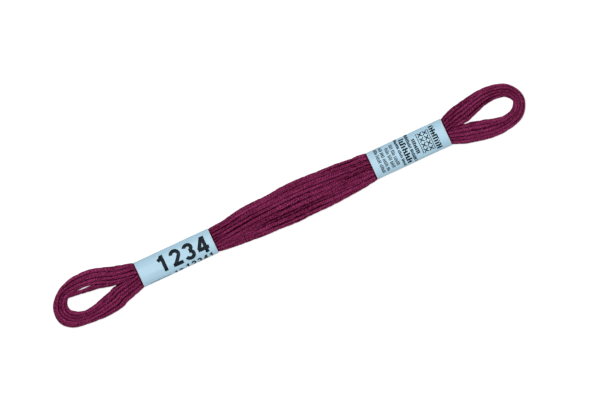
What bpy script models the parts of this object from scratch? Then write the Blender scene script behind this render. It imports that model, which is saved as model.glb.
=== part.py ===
"""A skein of stranded embroidery floss, held by two paper bands.

One long thread is wound into a flat ring about 175 mm long. Two paper bands press
the ring's two arms side by side, so that a loop stands open at each end.

Blender 4.5, in metres, +Z up, +X along the skein. The skein lies on z = 0, with its
origin below the middle of its length and width.
"""

import math

import bmesh
import bpy
import numpy as np

MM = 0.001

# ---- Driving dimensions, in millimetres ----

PAPER = 0.3  # wall of a band, with its glue and the slack under it
CLEARANCE = 0.32  # from the floss to the paper round it
GRIP_END = 0.6  # past a band's edge, where the floss starts to swell
SEAM = 0.3  # between the two arms where they are pressed together

RIDGES = 16  # passes of thread that show round one arm
RIDGE_PHASES = (0.0, 0.32, 0.68)  # a groove and the two shoulders of its ridge
GROOVE_DEPTH = 0.38
DIVE_DEPTH = 0.13  # how far a pass sinks among its neighbours
DIVE_WAVES = 5  # times that each pass sinks on its way round the ring
DRIFT = 0.9  # slow swing of the passes round the arm, in ridges
DRIFT_WAVES = 3
UNEVEN = 0.16  # how far the width of a pass differs, as a share of it
SCATTER = 2.4  # radians from one pass's waves to the next one's, so that none match

SETTLE = 0.6  # how far the floss gives where it lies on the surface
BUNDLE_POWER = 2.5  # 2 is an ellipse, more is squarer
LOOP_POWER = 2.2
MOUTH_PRESSED = 0.6  # at the ends of the arm table: 1 is pressed together, 0 a free loop
EDGE_ROUND = 0.9  # where an arm turns down into the seam
EDGE_POINTS = 8

ARM_STEP = 4.2  # between two sections of an arm
LOOP_STEP = 2.1  # between two sections of a loop
OUTLINE_POINTS = 96  # each half of a section, before it is cut into ridges
SHARP_ANGLE = 50  # degrees, past which an edge shades sharp

# The two arms, side by side, where no band holds them. below and above are the reaches
# of the lower and the upper arm from the seam, height is from the underside, and lift
# raises that side.
ARM_COLUMNS = ("x", "below", "above", "height", "lift")
ARM_ROWS = (
    (-64.2, 7.27, 6.87, 5.4, 0.0),
    (-61.2, 6.23, 5.91, 5.6, 0.0),
    (-58.6, 5.45, 5.12, 5.6, 0.2),
    (-25.4, 4.77, 4.50, 5.9, 0.1),
    (-22.6, 5.11, 4.75, 6.1, 0.0),
    (-17.2, 5.59, 5.70, 6.3, 0.0),
    (-11.8, 6.07, 6.15, 6.5, 0.0),
    (-5.1, 6.27, 6.25, 6.7, 0.0),
    (0.3, 6.63, 6.75, 6.8, 0.0),
    (5.7, 6.43, 6.75, 6.8, 0.0),
    (13.9, 6.37, 6.25, 6.6, 0.0),
    (19.3, 6.05, 6.07, 6.4, 0.0),
    (24.7, 5.67, 5.53, 6.2, 0.0),
    (28.4, 5.23, 5.35, 6.0, 0.1),
    (60.9, 5.53, 5.79, 5.7, 0.1),
    (63.9, 6.63, 6.79, 5.6, 0.0),
    (65.7, 7.20, 7.15, 5.4, 0.0),
)

# The two loops, walked against the clock. x and y place the middle of the ring's
# section, and width is measured across it.
LOOP_COLUMNS = ("x", "y", "width", "height")
RIGHT_LOOP_ROWS = (
    (67.5, -3.93, 7.05, 5.3),
    (70.6, -4.71, 6.81, 5.1),
    (74.7, -5.53, 5.98, 5.0),
    (78.6, -5.59, 5.05, 5.0),
    (83.1, -4.10, 4.64, 5.1),
    (85.3, 0.05, 4.13, 5.2),
    (83.2, 3.84, 4.44, 5.1),
    (78.8, 5.47, 5.02, 5.0),
    (74.7, 5.51, 5.64, 5.0),
    (70.6, 4.75, 6.31, 5.1),
    (67.5, 3.92, 6.85, 5.3),
)
LEFT_LOOP_ROWS = (
    (-65.9, 3.79, 6.97, 5.3),
    (-70.0, 4.99, 7.09, 5.1),
    (-74.0, 5.41, 7.08, 4.9),
    (-78.1, 5.41, 6.20, 4.9),
    (-82.3, 4.37, 4.37, 5.0),
    (-84.9, -0.30, 5.41, 5.1),
    (-84.31, -2.71, 5.93, 5.05),
    (-82.2, -4.56, 5.75, 5.0),
    (-78.1, -5.62, 4.66, 5.0),
    (-74.0, -5.57, 5.48, 5.0),
    (-70.0, -5.09, 6.50, 5.1),
    (-65.9, -4.20, 7.01, 5.3),
)

# A column of floss that fills the seam, so that the pressed arms are one bundle.
CORE_LOW = 0.9  # above the underside
CORE_TOP = 1.0  # below the top
CORE_HALF_WIDTH = 1.1
CORE_END = 7.0  # past the outer edge of a band, close to where the loop opens
CORE_SECTIONS = 25

# The two bands. y is the middle of the width.
BAND_COLUMNS = ("name", "x_low", "x_high", "y", "width", "height")
BAND_ROWS = (
    ("number_band", -56.0, -28.4, -0.1, 8.9, 6.25),
    ("label_band", 30.9, 58.55, 0.1, 9.65, 6.45),
)
BAND_POINTS = 56
BAND_SECTIONS = 5
OVERLAP_STEP = 0.16  # the glued flap stands out by this much
OVERLAP_SPAN = (0.60, 0.70)  # the flap, as shares of the way round from the +Y side
CREASE_DEPTH = 0.06  # soft dents where the paper follows the floss
CREASE_WAVES = 9
CREASE_TURN = 0.12  # radians that the dents turn in each millimetre of length

FLOSS_COLOUR = (0.17, 0.012, 0.055, 1.0)
PAPER_COLOUR = (0.42, 0.66, 0.78, 1.0)


# ---- Helpers ----


def clear_scene():
    """Remove the objects of the startup scene."""
    for obj in list(bpy.data.objects):
        bpy.data.objects.remove(obj, do_unlink=True)


def new_material(name, colour, roughness):
    material = bpy.data.materials.new(name)
    material.use_nodes = True
    shader = material.node_tree.nodes["Principled BSDF"]
    shader.inputs["Base Color"].default_value = colour
    shader.inputs["Roughness"].default_value = roughness
    shader.inputs["Metallic"].default_value = 0.0
    return material


def table(columns, rows):
    """The rows as one array for each named column."""
    return {name: np.array([row[i] for row in rows]) for i, name in enumerate(columns)}


def power_curve(turn, half_width, half_height, power):
    """Points of a superellipse, at angles of turn in radians."""
    across = np.abs(np.cos(turn)) ** (2 / power) * np.sign(np.cos(turn))
    up = np.abs(np.sin(turn)) ** (2 / power) * np.sign(np.sin(turn))
    return np.stack([half_width * across, half_height * up], axis=1)


def even_points(outline, shares):
    """Points at these shares of the way round a closed outline."""
    closed = np.vstack([outline, outline[:1]])
    steps = np.hypot(*np.diff(closed, axis=0).T)
    along = np.concatenate([[0.0], np.cumsum(steps)]) / steps.sum()
    wrapped = np.mod(shares, 1.0)
    return np.stack([np.interp(wrapped, along, closed[:, i]) for i in (0, 1)], axis=1)


def outward_normals(points):
    """Unit normals of a closed outline that runs against the clock."""
    chord = np.roll(points, -1, axis=0) - np.roll(points, 1, axis=0)
    normal = np.stack([chord[:, 1], -chord[:, 0]], axis=1)
    return normal / np.hypot(*normal.T)[:, None]


def loft(name, rings, closed, material, collection):
    """Skin a row of rings that all have the same number of points.

    rings has the shape (rings, points, 3), in millimetres. A closed loft joins its
    last ring to its first, and an open one has a cap at each end.
    """
    ring_count, point_count = rings.shape[:2]
    mesh_builder = bmesh.new()
    grid = [[mesh_builder.verts.new(point * MM) for point in ring] for ring in rings]
    for i in range(ring_count if closed else ring_count - 1):
        here = grid[i]
        there = grid[(i + 1) % ring_count]
        for j in range(point_count):
            k = (j + 1) % point_count
            mesh_builder.faces.new((here[j], there[j], there[k], here[k]))
    if not closed:
        mesh_builder.faces.new(grid[0])
        mesh_builder.faces.new(reversed(grid[-1]))
    bmesh.ops.recalc_face_normals(mesh_builder, faces=mesh_builder.faces)
    mesh = bpy.data.meshes.new(name)
    mesh_builder.to_mesh(mesh)
    mesh_builder.free()
    mesh.shade_smooth()
    mesh.set_sharp_from_angle(angle=math.radians(SHARP_ANGLE))
    mesh.materials.append(material)
    obj = bpy.data.objects.new(name, mesh)
    collection.objects.link(obj)
    return obj


# ---- The hank ----


def arm_table():
    """The arm's rows with three more in each band, a clearance short of its paper."""
    gap = PAPER + CLEARANCE
    rows = list(ARM_ROWS)
    for row in BAND_ROWS:
        band = dict(zip(BAND_COLUMNS, row))
        reach = band["width"] / 2 - gap
        ends = (band["x_low"] - GRIP_END, band["x_high"] + GRIP_END)
        for x in (ends[0], sum(ends) / 2, ends[1]):
            rows.append((x, reach - band["y"], reach + band["y"], band["height"] - 2 * gap, gap))
    return table(ARM_COLUMNS, sorted(rows))


def ring_rows():
    """Rows for the whole ring, walked against the clock: the lower arm, the right
    loop, the upper arm and the left loop. Columns: x, y, width, height, lift, and
    pressed, which is 1 where the arms are pressed together and 0 in a loop."""
    arm = arm_table()
    pressed = np.ones(len(arm["x"]))
    pressed[[0, -1]] = MOUTH_PRESSED
    inner = SEAM / 2
    arms = {}
    for side, reach in ((-1, arm["below"]), (1, arm["above"])):
        middle = side * (reach + inner) / 2
        columns = (arm["x"], middle, reach - inner, arm["height"], arm["lift"], pressed)
        arms[side] = np.stack(columns, axis=1)
    loops = []
    for rows in (RIGHT_LOOP_ROWS, LEFT_LOOP_ROWS):
        loop = table(LOOP_COLUMNS, rows)
        flat = np.zeros(len(rows))
        columns = [loop[name] for name in LOOP_COLUMNS] + [flat, flat]
        loops.append(np.stack(columns, axis=1))
    return np.vstack([arms[-1], loops[0], arms[1][::-1], loops[1]])


def limited_slopes(secants, lengths):
    """Slopes at closed rows that keep each column between its neighbouring rows."""
    before = np.roll(secants, 1, axis=0)
    smooth = before * secants > 0
    pace = (np.roll(lengths, 1) + lengths)[:, None]
    mean = (before * lengths[:, None] + secants * np.roll(lengths, 1)[:, None]) / pace
    bound = 3 * np.minimum(np.abs(before), np.abs(secants))
    return np.where(smooth, np.sign(mean) * np.minimum(np.abs(mean), bound), 0.0)


def ring_stations():
    """The rows of the ring read at close steps, as a smooth closed curve."""
    rows = ring_rows()
    chords = np.roll(rows, -1, axis=0) - rows
    lengths = np.hypot(chords[:, 0], chords[:, 1])
    secants = chords / lengths[:, None]
    slopes = limited_slopes(secants, lengths)
    before = np.roll(lengths, 1)[:, None]
    after = lengths[:, None]
    smooth = (np.roll(secants, 1, axis=0) * after + secants * before) / (before + after)
    in_loop = rows[:, 5] == 0
    slopes[in_loop, :2] = smooth[in_loop, :2]
    in_arm = (rows[:, 5] > 0) & (np.roll(rows[:, 5], -1) > 0)
    stations = []
    for i, length in enumerate(lengths):
        step = ARM_STEP if in_arm[i] else LOOP_STEP
        t = np.arange(math.ceil(length / step)) / math.ceil(length / step)
        t = t[:, None]
        start, end = rows[i], rows[(i + 1) % len(rows)]
        leave, arrive = slopes[i] * length, slopes[(i + 1) % len(rows)] * length
        stations.append(
            (1 + 2 * t) * (1 - t) ** 2 * start
            + t * (1 - t) ** 2 * leave
            + t**2 * (3 - 2 * t) * end
            + t**2 * (t - 1) * arrive
        )
    return np.vstack(stations)


def pressed_outline(half_height, inner, outer):
    """One half of the bundle: round outside, and flat down the seam.

    The first column runs outwards from the middle of the arm. The outline starts at
    the outermost point, rises over the top, comes down the seam and runs back below.
    """
    turn_in = inner + EDGE_ROUND
    last_turn = math.acos((turn_in / outer) ** (BUNDLE_POWER / 2))
    turn = np.linspace(0, last_turn, OUTLINE_POINTS)
    top = power_curve(turn, outer, half_height, BUNDLE_POWER)
    round_turn = np.linspace(0, math.pi / 2, EDGE_POINTS)[1:]
    corner_height = top[-1, 1] - EDGE_ROUND
    corner = np.stack([-np.sin(round_turn), np.cos(round_turn)], axis=1) * EDGE_ROUND
    corner += (turn_in, corner_height)
    upper = np.vstack([top, corner])
    lower = upper[::-1] * (1, -1)
    outline = np.vstack([upper, lower[:-1]])
    return outline - ((inner + outer) / 2, 0)


def arm_section(station, place):
    """One ring of points round the arm, as (outwards, up), at a share of the way."""
    width, height, lift, pressed = station[2:6]
    half_height = (height + SETTLE) / 2
    turn = np.linspace(0, 2 * math.pi, 2 * OUTLINE_POINTS, endpoint=False)
    loop_shape = power_curve(turn, width / 2, half_height, LOOP_POWER)
    bundle_shape = pressed_outline(half_height, SEAM / 2, SEAM / 2 + width)
    ridge = np.repeat(np.arange(RIDGES), len(RIDGE_PHASES))
    phase = np.tile(RIDGE_PHASES, RIDGES)
    swing = DRIFT * math.sin(2 * math.pi * DRIFT_WAVES * place)
    uneven = UNEVEN * np.sin(SCATTER * ridge + 2 * math.pi * place)
    shares = (ridge + phase + uneven * (phase > 0) + swing) / RIDGES
    points = (1 - pressed) * even_points(loop_shape, shares)
    points += pressed * even_points(bundle_shape, shares)
    normals = outward_normals(points)
    dive = 0.5 + 0.5 * np.sin(SCATTER * ridge**2 + 2 * math.pi * DIVE_WAVES * place)
    depth = np.where(phase == 0, GROOVE_DEPTH, DIVE_DEPTH * dive)
    facing_seam = np.clip(-normals[:, 0], 0, 1) * pressed
    points -= normals * (depth * (1 - facing_seam))[:, None]
    points[:, 1] += lift + height - half_height
    points[:, 1] = np.maximum(points[:, 1], lift)
    return points


def make_ring(material, collection):
    """Loft the sections round the ring, each square to its path."""
    stations = ring_stations()
    path = stations[:, :2]
    ahead = np.roll(path, -1, axis=0) - np.roll(path, 1, axis=0)
    ahead /= np.hypot(*ahead.T)[:, None]
    outwards = np.stack([ahead[:, 1], -ahead[:, 0]], axis=1)
    steps = np.hypot(*(np.roll(path, -1, axis=0) - path).T)
    places = np.concatenate([[0.0], np.cumsum(steps)[:-1]]) / steps.sum()
    rings = []
    for station, place, outward in zip(stations, places, outwards):
        section = arm_section(station, place)
        level = station[:2] + section[:, :1] * outward
        rings.append(np.column_stack([level, section[:, 1]]))
    return loft("hank", np.array(rings), True, material, collection)


def make_core(material, collection):
    """The floss between the arms, a bar just under the bundle's top and underside."""
    arm = arm_table()
    ends = (BAND_ROWS[0][1] - CORE_END, BAND_ROWS[1][2] + CORE_END)
    rings = []
    for x in np.linspace(*ends, CORE_SECTIONS):
        lift = np.interp(x, arm["x"], arm["lift"])
        top = lift + np.interp(x, arm["x"], arm["height"]) - CORE_TOP
        low = lift + CORE_LOW
        corners = ((-1, low), (1, low), (1, top), (-1, top))
        rings.append([(x, side * CORE_HALF_WIDTH, z) for side, z in corners])
    core = loft("hank_core", np.array(rings), False, material, collection)
    core.hide_render = True
    core.display_type = "WIRE"
    return core


def make_hank(material, collection, helpers):
    hank = make_ring(material, collection)
    join = hank.modifiers.new("fill_the_seam", "BOOLEAN")
    join.operation = "UNION"
    join.solver = "EXACT"
    join.object = make_core(material, helpers)
    return hank


# ---- The paper bands ----


def band_outline(width, height, inset, crease):
    """A ring round the bundle, inset from the paper's outer face, flat underneath."""
    shares = np.arange(BAND_POINTS) / BAND_POINTS
    half_height = (height + SETTLE) / 2
    turn = np.linspace(0, 2 * math.pi, 4 * OUTLINE_POINTS, endpoint=False)
    shape = power_curve(turn, width / 2, half_height, BUNDLE_POWER)
    points = even_points(shape, shares)
    flap = (shares >= OVERLAP_SPAN[0]) & (shares <= OVERLAP_SPAN[1])
    out = OVERLAP_STEP * flap if inset == 0 else np.full(BAND_POINTS, -inset)
    points += outward_normals(points) * (out + crease)[:, None]
    points[:, 1] += height - half_height
    points[:, 1] = np.maximum(points[:, 1], inset)
    return points


def make_band(row, material, collection):
    """A sleeve: its outer skin from one mouth to the other, and its inner skin back."""
    band = dict(zip(BAND_COLUMNS, row))
    xs = np.linspace(band["x_low"], band["x_high"], BAND_SECTIONS)
    shares = np.arange(BAND_POINTS) / BAND_POINTS
    rings = []
    for inset, places in ((0, xs), (PAPER, xs[::-1])):
        for x in places:
            swell = math.sin(math.pi * (x - band["x_low"]) / (band["x_high"] - band["x_low"]))
            wave = np.cos(2 * math.pi * CREASE_WAVES * shares + CREASE_TURN * x)
            crease = CREASE_DEPTH * swell * 0.5 * (wave - 1)
            outline = band_outline(band["width"], band["height"], inset, crease)
            outline[:, 0] += band["y"]
            rings.append(np.column_stack([np.full(BAND_POINTS, x), outline]))
    return loft(band["name"], np.array(rings), True, material, collection)


# ---- The whole skein ----


def centre_on_origin(pieces, helpers):
    """Carry every piece on one empty, with the skein's level middle at the origin."""
    graph = bpy.context.evaluated_depsgraph_get()
    corners = [corner[:] for obj in pieces for corner in obj.evaluated_get(graph).bound_box]
    middle = (np.min(corners, axis=0) + np.max(corners, axis=0)) / 2
    carrier = bpy.data.objects.new("skein", None)
    carrier.location = (-middle[0], -middle[1], 0.0)
    helpers.objects.link(carrier)
    for obj in [*pieces, *helpers.objects]:
        if obj != carrier:
            obj.parent = carrier


def main():
    clear_scene()
    skein = bpy.data.collections.new("embroidery_floss_skein")
    helpers = bpy.data.collections.new("helpers")
    bpy.context.scene.collection.children.link(skein)
    bpy.context.scene.collection.children.link(helpers)
    floss = new_material("floss", FLOSS_COLOUR, 0.7)
    paper = new_material("paper", PAPER_COLOUR, 0.6)
    make_hank(floss, skein, helpers)
    for row in BAND_ROWS:
        make_band(row, paper, skein)
    centre_on_origin(skein.objects, helpers)


main()
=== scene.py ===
# %% [markdown]
# # A skein of stranded embroidery floss
# The real thing is one thread, about 8 m long, made of six loose strands. A mill winds
# it into a flat ring of 23 turns, presses the ring's two arms together and slips two
# glued paper strips round them. This lesson winds the same thread turn by turn, so the
# grooves, the crossings and the frayed outline come from the thread itself and not from
# a picture laid over a block.

# %% Load the frame
import math

import bmesh
import bpy
import numpy as np
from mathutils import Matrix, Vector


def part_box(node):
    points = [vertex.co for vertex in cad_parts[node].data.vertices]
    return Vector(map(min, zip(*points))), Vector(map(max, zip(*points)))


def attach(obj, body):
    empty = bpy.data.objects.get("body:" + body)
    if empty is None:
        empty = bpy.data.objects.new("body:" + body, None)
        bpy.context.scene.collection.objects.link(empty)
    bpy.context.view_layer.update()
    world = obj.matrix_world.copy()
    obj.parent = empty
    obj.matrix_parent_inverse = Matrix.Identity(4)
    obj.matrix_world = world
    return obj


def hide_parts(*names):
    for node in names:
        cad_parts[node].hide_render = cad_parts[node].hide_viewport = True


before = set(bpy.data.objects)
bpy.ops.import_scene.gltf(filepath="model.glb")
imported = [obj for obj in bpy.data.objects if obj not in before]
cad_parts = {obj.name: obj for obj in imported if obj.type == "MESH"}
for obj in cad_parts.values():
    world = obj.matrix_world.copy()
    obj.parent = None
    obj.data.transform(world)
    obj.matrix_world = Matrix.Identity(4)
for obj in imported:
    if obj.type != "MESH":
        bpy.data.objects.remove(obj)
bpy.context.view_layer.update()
scene = bpy.context.scene
MM = 0.001  # sizes below are in millimetres, and Blender's are in metres


# %% [markdown]
# ## Sizes of the skein
# A maker would measure a skein with calipers: how far each arm reaches from the seam
# between them, how high the bundle stands, and how the ring runs round each loop. Two
# short tables hold those readings, in millimetres, and everything else is worked out
# from them. The seam is where the two arms meet, and it runs along X.

# %% Driving sizes
SEAM_MIDDLE = (0.163, -0.20)  # the seam's middle, from the origin
TURNS = 23
STRANDS = 6
SETTLE = 0.6  # how far the floss gives where it lies on the surface
BUNDLE_POWER = 2.5  # 2 is an ellipse, more is squarer
LOOP_POWER = 2.2

ARM_COLUMNS = ("x", "below", "above", "height", "lift")
ARM_ROWS = (
    (-64.8, 7.48, 7.20, 5.45, 0.0),
    (-61.2, 6.28, 5.96, 5.7, 0.0),
    (-58.5, 5.29, 5.18, 5.9, 0.05),
    (-57.2, 4.90, 4.80, 6.0, 0.1),
    (-55.9, 4.12, 4.08, 5.3, 0.2),
    (-42.0, 4.28, 4.28, 5.9, 0.15),
    (-28.4, 4.12, 4.08, 5.3, 0.2),
    (-27.1, 4.65, 4.53, 6.0, 0.1),
    (-25.4, 4.78, 4.54, 6.1, 0.05),
    (-22.6, 5.13, 4.74, 6.2, 0.0),
    (-17.2, 5.56, 5.80, 6.35, 0.0),
    (-11.8, 6.00, 6.18, 6.5, 0.0),
    (-5.1, 6.20, 6.27, 6.7, 0.0),
    (0.3, 6.60, 6.83, 6.8, 0.0),
    (5.7, 6.39, 6.86, 6.8, 0.0),
    (13.9, 6.42, 6.37, 6.7, 0.0),
    (19.3, 6.05, 6.14, 6.5, 0.0),
    (24.7, 5.71, 5.57, 6.35, 0.0),
    (28.4, 5.17, 5.50, 6.25, 0.05),
    (29.7, 5.00, 5.33, 6.2, 0.1),
    (31.0, 4.48, 4.48, 5.4, 0.2),
    (44.6, 4.66, 4.66, 6.1, 0.15),
    (58.4, 4.48, 4.48, 5.4, 0.2),
    (59.6, 4.86, 5.06, 6.0, 0.1),
    (60.9, 5.43, 5.70, 5.9, 0.05),
    (63.9, 6.94, 7.14, 5.7, 0.0),
    (65.2, 7.66, 7.66, 5.55, 0.0),
)
print(f"{TURNS} turns of {STRANDS} strands,", len(ARM_ROWS), "sections along the arms")

# %% [markdown]
# Past the bands the ring opens into a loop at each end. There is only one arm in a loop,
# so a row gives the middle of that arm, its width and its height, against the clock.

# %% Sizes of the loops
LOOP_COLUMNS = ("x", "y", "width", "height")
RIGHT_LOOP_ROWS = (
    (66.5, -3.90, 7.95, 5.4),
    (67.5, -4.14, 7.4, 5.3),
    (70.6, -4.80, 7.18, 5.1),
    (74.7, -5.52, 6.15, 5.0),
    (78.6, -5.58, 5.1, 5.0),
    (83.1, -4.12, 4.83, 5.1),
    (85.35, 0.05, 4.1, 5.2),
    (83.25, 3.90, 4.55, 5.1),
    (78.8, 5.53, 5.05, 5.0),
    (74.7, 5.57, 5.75, 5.0),
    (70.6, 4.80, 6.4, 5.1),
    (67.5, 4.12, 7.40, 5.3),
    (66.5, 3.87, 7.95, 5.4),
)
LEFT_LOOP_ROWS = (
    (-65.9, 3.92, 7.46, 5.3),
    (-70.0, 5.10, 7.42, 5.1),
    (-74.0, 5.53, 7.52, 4.9),
    (-78.1, 5.54, 6.48, 4.9),
    (-82.35, 4.42, 4.4, 5.0),
    (-84.87, -0.32, 5.74, 5.1),
    (-84.25, -2.66, 6.36, 5.05),
    (-82.08, -4.39, 6.14, 5.0),
    (-78.1, -5.53, 4.75, 5.0),
    (-74.0, -5.52, 5.65, 5.0),
    (-70.0, -5.01, 6.66, 5.1),
    (-65.9, -4.23, 7.42, 5.3),
)
print(len(RIGHT_LOOP_ROWS), "and", len(LEFT_LOOP_ROWS), "sections round the loops")

# %% [markdown]
# ## The camera
# The skein is looked at from straight above. An orthographic camera keeps its widths
# true along the whole length, and turning the camera about the vertical lets the skein
# rise to the right while it stays square to its own axes.

# %% Camera
FRAME_PIXELS = (600, 400)
MM_PER_PIXEL = 0.338
RISE = math.radians(24.9)  # how steeply the skein rises to the right
ORIGIN_PIXEL = (288.50, 204.65)  # where the skein's middle lies in the frame
CAMERA_HEIGHT = 0.6

right = np.array([math.cos(RISE), -math.sin(RISE)])
up = np.array([math.sin(RISE), math.cos(RISE)])
aim = MM * MM_PER_PIXEL * (
    right * (FRAME_PIXELS[0] / 2 - ORIGIN_PIXEL[0]) + up * (ORIGIN_PIXEL[1] - FRAME_PIXELS[1] / 2)
)
camera_data = bpy.data.cameras.new("camera")
camera_data.type = "ORTHO"
camera_data.ortho_scale = FRAME_PIXELS[0] * MM_PER_PIXEL * MM
camera = bpy.data.objects.new("camera", camera_data)
camera.location = (aim[0], aim[1], CAMERA_HEIGHT)
camera.rotation_euler = (0.0, 0.0, -RISE)
scene.collection.objects.link(camera)
scene.camera = camera
print("camera aims at", np.round(aim / MM, 2), "mm")

# %% [markdown]
# ## The ring's path
# The ring could be one curve object with handles set by hand, but its section changes
# all the way round. So the rows become stations: each has a place, a width, a height, a
# lift, and how far the arms are pressed together.

# %% Rows round the ring
def table(columns, rows):
    """The rows as one array for each named column."""
    return {name: np.array([row[i] for row in rows]) for i, name in enumerate(columns)}


def ring_rows():
    """Lower arm, right loop, upper arm and left loop, against the clock.

    Columns: x, y, width, height, lift, pressed (1 together, 0 in a free loop)."""
    arm = table(ARM_COLUMNS, ARM_ROWS)
    pressed = np.ones(len(arm["x"]))
    pressed[[0, -1]] = 0.6
    arms = {}
    for side, reach in ((-1, arm["below"]), (1, arm["above"])):
        columns = (arm["x"], side * reach / 2, reach, arm["height"], arm["lift"], pressed)
        arms[side] = np.stack(columns, axis=1)
    loops = []
    for rows in (RIGHT_LOOP_ROWS, LEFT_LOOP_ROWS):
        loop = table(LOOP_COLUMNS, rows)
        free = np.zeros(len(rows))
        loops.append(np.stack([loop[name] for name in LOOP_COLUMNS] + [free, free], axis=1))
    return np.vstack([arms[-1], loops[0], arms[1][::-1], loops[1]])


rows = ring_rows()
print(len(rows), "rows round the ring")

# %% [markdown]
# Straight lines between the rows would leave corners in the thread, and a plain spline
# would swell past a row that differs from its neighbours. So the curve is a cubic from row
# to row whose slopes are held back wherever a column would overshoot. Only the path in
# the loops is left free, because there it has to swing round.

# %% Between the rows
def hermite_through(rows, held):
    """A function of the distance round the rows, closed, and that whole distance.

    Between two rows it is the cubic that leaves and arrives with their slopes. A slope
    is the mean of the two secants, weighted to the shorter one. Where held, it is also
    capped at three times the smaller secant, and 0 at a turning point."""
    chords = np.roll(rows, -1, axis=0) - rows
    lengths = np.hypot(chords[:, 0], chords[:, 1])[:, None]
    secants = chords / lengths
    before, lengths_before = np.roll(secants, 1, axis=0), np.roll(lengths, 1, axis=0)
    slopes = (before * lengths + secants * lengths_before) / (lengths + lengths_before)
    cap = 3 * np.minimum(np.abs(before), np.abs(secants)) * (before * secants > 0)
    slopes = np.where(held, np.clip(slopes, -cap, cap), slopes)
    starts = np.concatenate([[0.0], np.cumsum(lengths[:, 0])])

    def read(distance):
        wrapped = np.mod(distance, starts[-1])
        i = np.clip(np.searchsorted(starts, wrapped, side="right") - 1, 0, len(rows) - 1)
        j = (i + 1) % len(rows)
        length = lengths[i]
        t = (wrapped - starts[i])[:, None] / length
        return (
            (1 + 2 * t) * (1 - t) ** 2 * rows[i]
            + t * (1 - t) ** 2 * slopes[i] * length
            + t**2 * (3 - 2 * t) * rows[j]
            + t**2 * (t - 1) * slopes[j] * length
        )

    return read, starts[-1]


held = np.ones_like(rows, dtype=bool)
held[rows[:, 5] < 1, :2] = False
read_ring, ring_length = hermite_through(rows, held)
print(f"one turn is {ring_length:.0f} mm, the thread {ring_length * TURNS / 1000:.2f} m")

# %% [markdown]
# Stations could stand evenly, but then most of them would be spent on straight floss. So
# they crowd where the path bends and where the floss dips under the edge of a paper, and
# thin out where the paper hides it.

# %% Stations round the ring
FINE_STATIONS = 336  # for the strands
COARSE_EVERY = 3  # the packing is worked out at every third station
PROBES = 4000
LOOP_DENSITY = 1.7  # stations stand closer together in the loops
EDGE_DENSITY = 1.6  # and more so where the floss dips under a band's edge
HIDDEN_DENSITY = 0.45
EDGE_REACH = 1.6
THREAD_START = (-42.0, -2.2)  # a turn starts and ends here, hidden under the number band

probe = np.linspace(0, ring_length, PROBES, endpoint=False)
probe_rows = read_ring(probe)
start_at = probe[np.argmin(np.hypot(*(probe_rows[:, :2] - THREAD_START).T))]
probe_rows = read_ring(probe + start_at)
density = np.where(probe_rows[:, 5] < 0.5, LOOP_DENSITY, 1.0)
for node in ("number_band", "label_band"):
    low, high = (corner[0] / MM - SEAM_MIDDLE[0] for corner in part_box(node))
    under = (probe_rows[:, 0] > low) & (probe_rows[:, 0] < high)
    density[under] = HIDDEN_DENSITY
    for edge in (low, high):
        density += EDGE_DENSITY * np.exp(-(((probe_rows[:, 0] - edge) / EDGE_REACH) ** 2))
share = np.concatenate([[0.0], np.cumsum(density)]) / density.sum()
even = np.arange(FINE_STATIONS) / FINE_STATIONS
distance = np.interp(even, share, np.append(probe, ring_length))
stations = read_ring(distance + start_at)
path = stations[:, :2]
ahead = np.roll(path, -1, axis=0) - np.roll(path, 1, axis=0)
ahead /= np.hypot(*ahead.T)[:, None]
outwards = np.stack([ahead[:, 1], -ahead[:, 0]], axis=1)
print(FINE_STATIONS, "stations,", (stations[:, 5] < 0.5).sum(), "of them in the loops")

# %% [markdown]
# ## The section of an arm
# A soft bundle is neither round nor square in section. A superellipse goes from one to
# the other with a single number, its power. Its points crowd at the corners, so they are
# spaced again evenly along the curve.

# %% Closed curves
OUTLINE_POINTS = 96


def power_curve(turn, half_width, half_height, power):
    """x = a·cos^(2/p), y = b·sin^(2/p), each with the sign of its cosine or sine."""
    across = np.abs(np.cos(turn)) ** (2 / power) * np.sign(np.cos(turn))
    rise = np.abs(np.sin(turn)) ** (2 / power) * np.sign(np.sin(turn))
    return np.stack([half_width * across, half_height * rise], axis=1)


def even_points(outline, shares):
    """Points at these shares of the way round a closed outline."""
    closed = np.vstack([outline, outline[:1]])
    along = np.concatenate([[0.0], np.cumsum(np.hypot(*np.diff(closed, axis=0).T))])
    wrapped = np.mod(shares, 1.0) * along[-1]
    return np.stack([np.interp(wrapped, along, closed[:, i]) for i in (0, 1)], axis=1)


def outward_normals(points):
    """Unit normals of closed outlines that run against the clock, (..., points, 2)."""
    chord = np.roll(points, -1, axis=-2) - np.roll(points, 1, axis=-2)
    normal = np.stack([chord[..., 1], -chord[..., 0]], axis=-1)
    return normal / np.linalg.norm(normal, axis=-1, keepdims=True)


def outline_area(points):
    """The shoelace formula over the last two axes."""
    after = np.roll(points, -1, axis=-2)
    return 0.5 * np.sum(points[..., 0] * after[..., 1] - points[..., 1] * after[..., 0], -1)


circle = power_curve(np.linspace(0, 2 * math.pi, OUTLINE_POINTS, endpoint=False), 1, 1, 2)
print("a circle of", OUTLINE_POINTS, "points and radius 1 has the area",
      outline_area(circle).round(3))

# %% [markdown]
# In a free loop the section is such a curve of power 2.2. Between the loops two arms share
# one bundle, so each arm is half of it: round outside and flat down the seam. Both
# outlines have the same number of points, evenly spaced, so a mouth where the arms part
# is a plain blend of the two. The underside is cut flat where it rests.

# %% Outlines of the sections
EDGE_ROUND = 0.6
EDGE_POINTS = 8
SEAM_GIVE = 0.7  # how far a pass may lie across the seam, between passes of the other arm


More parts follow.
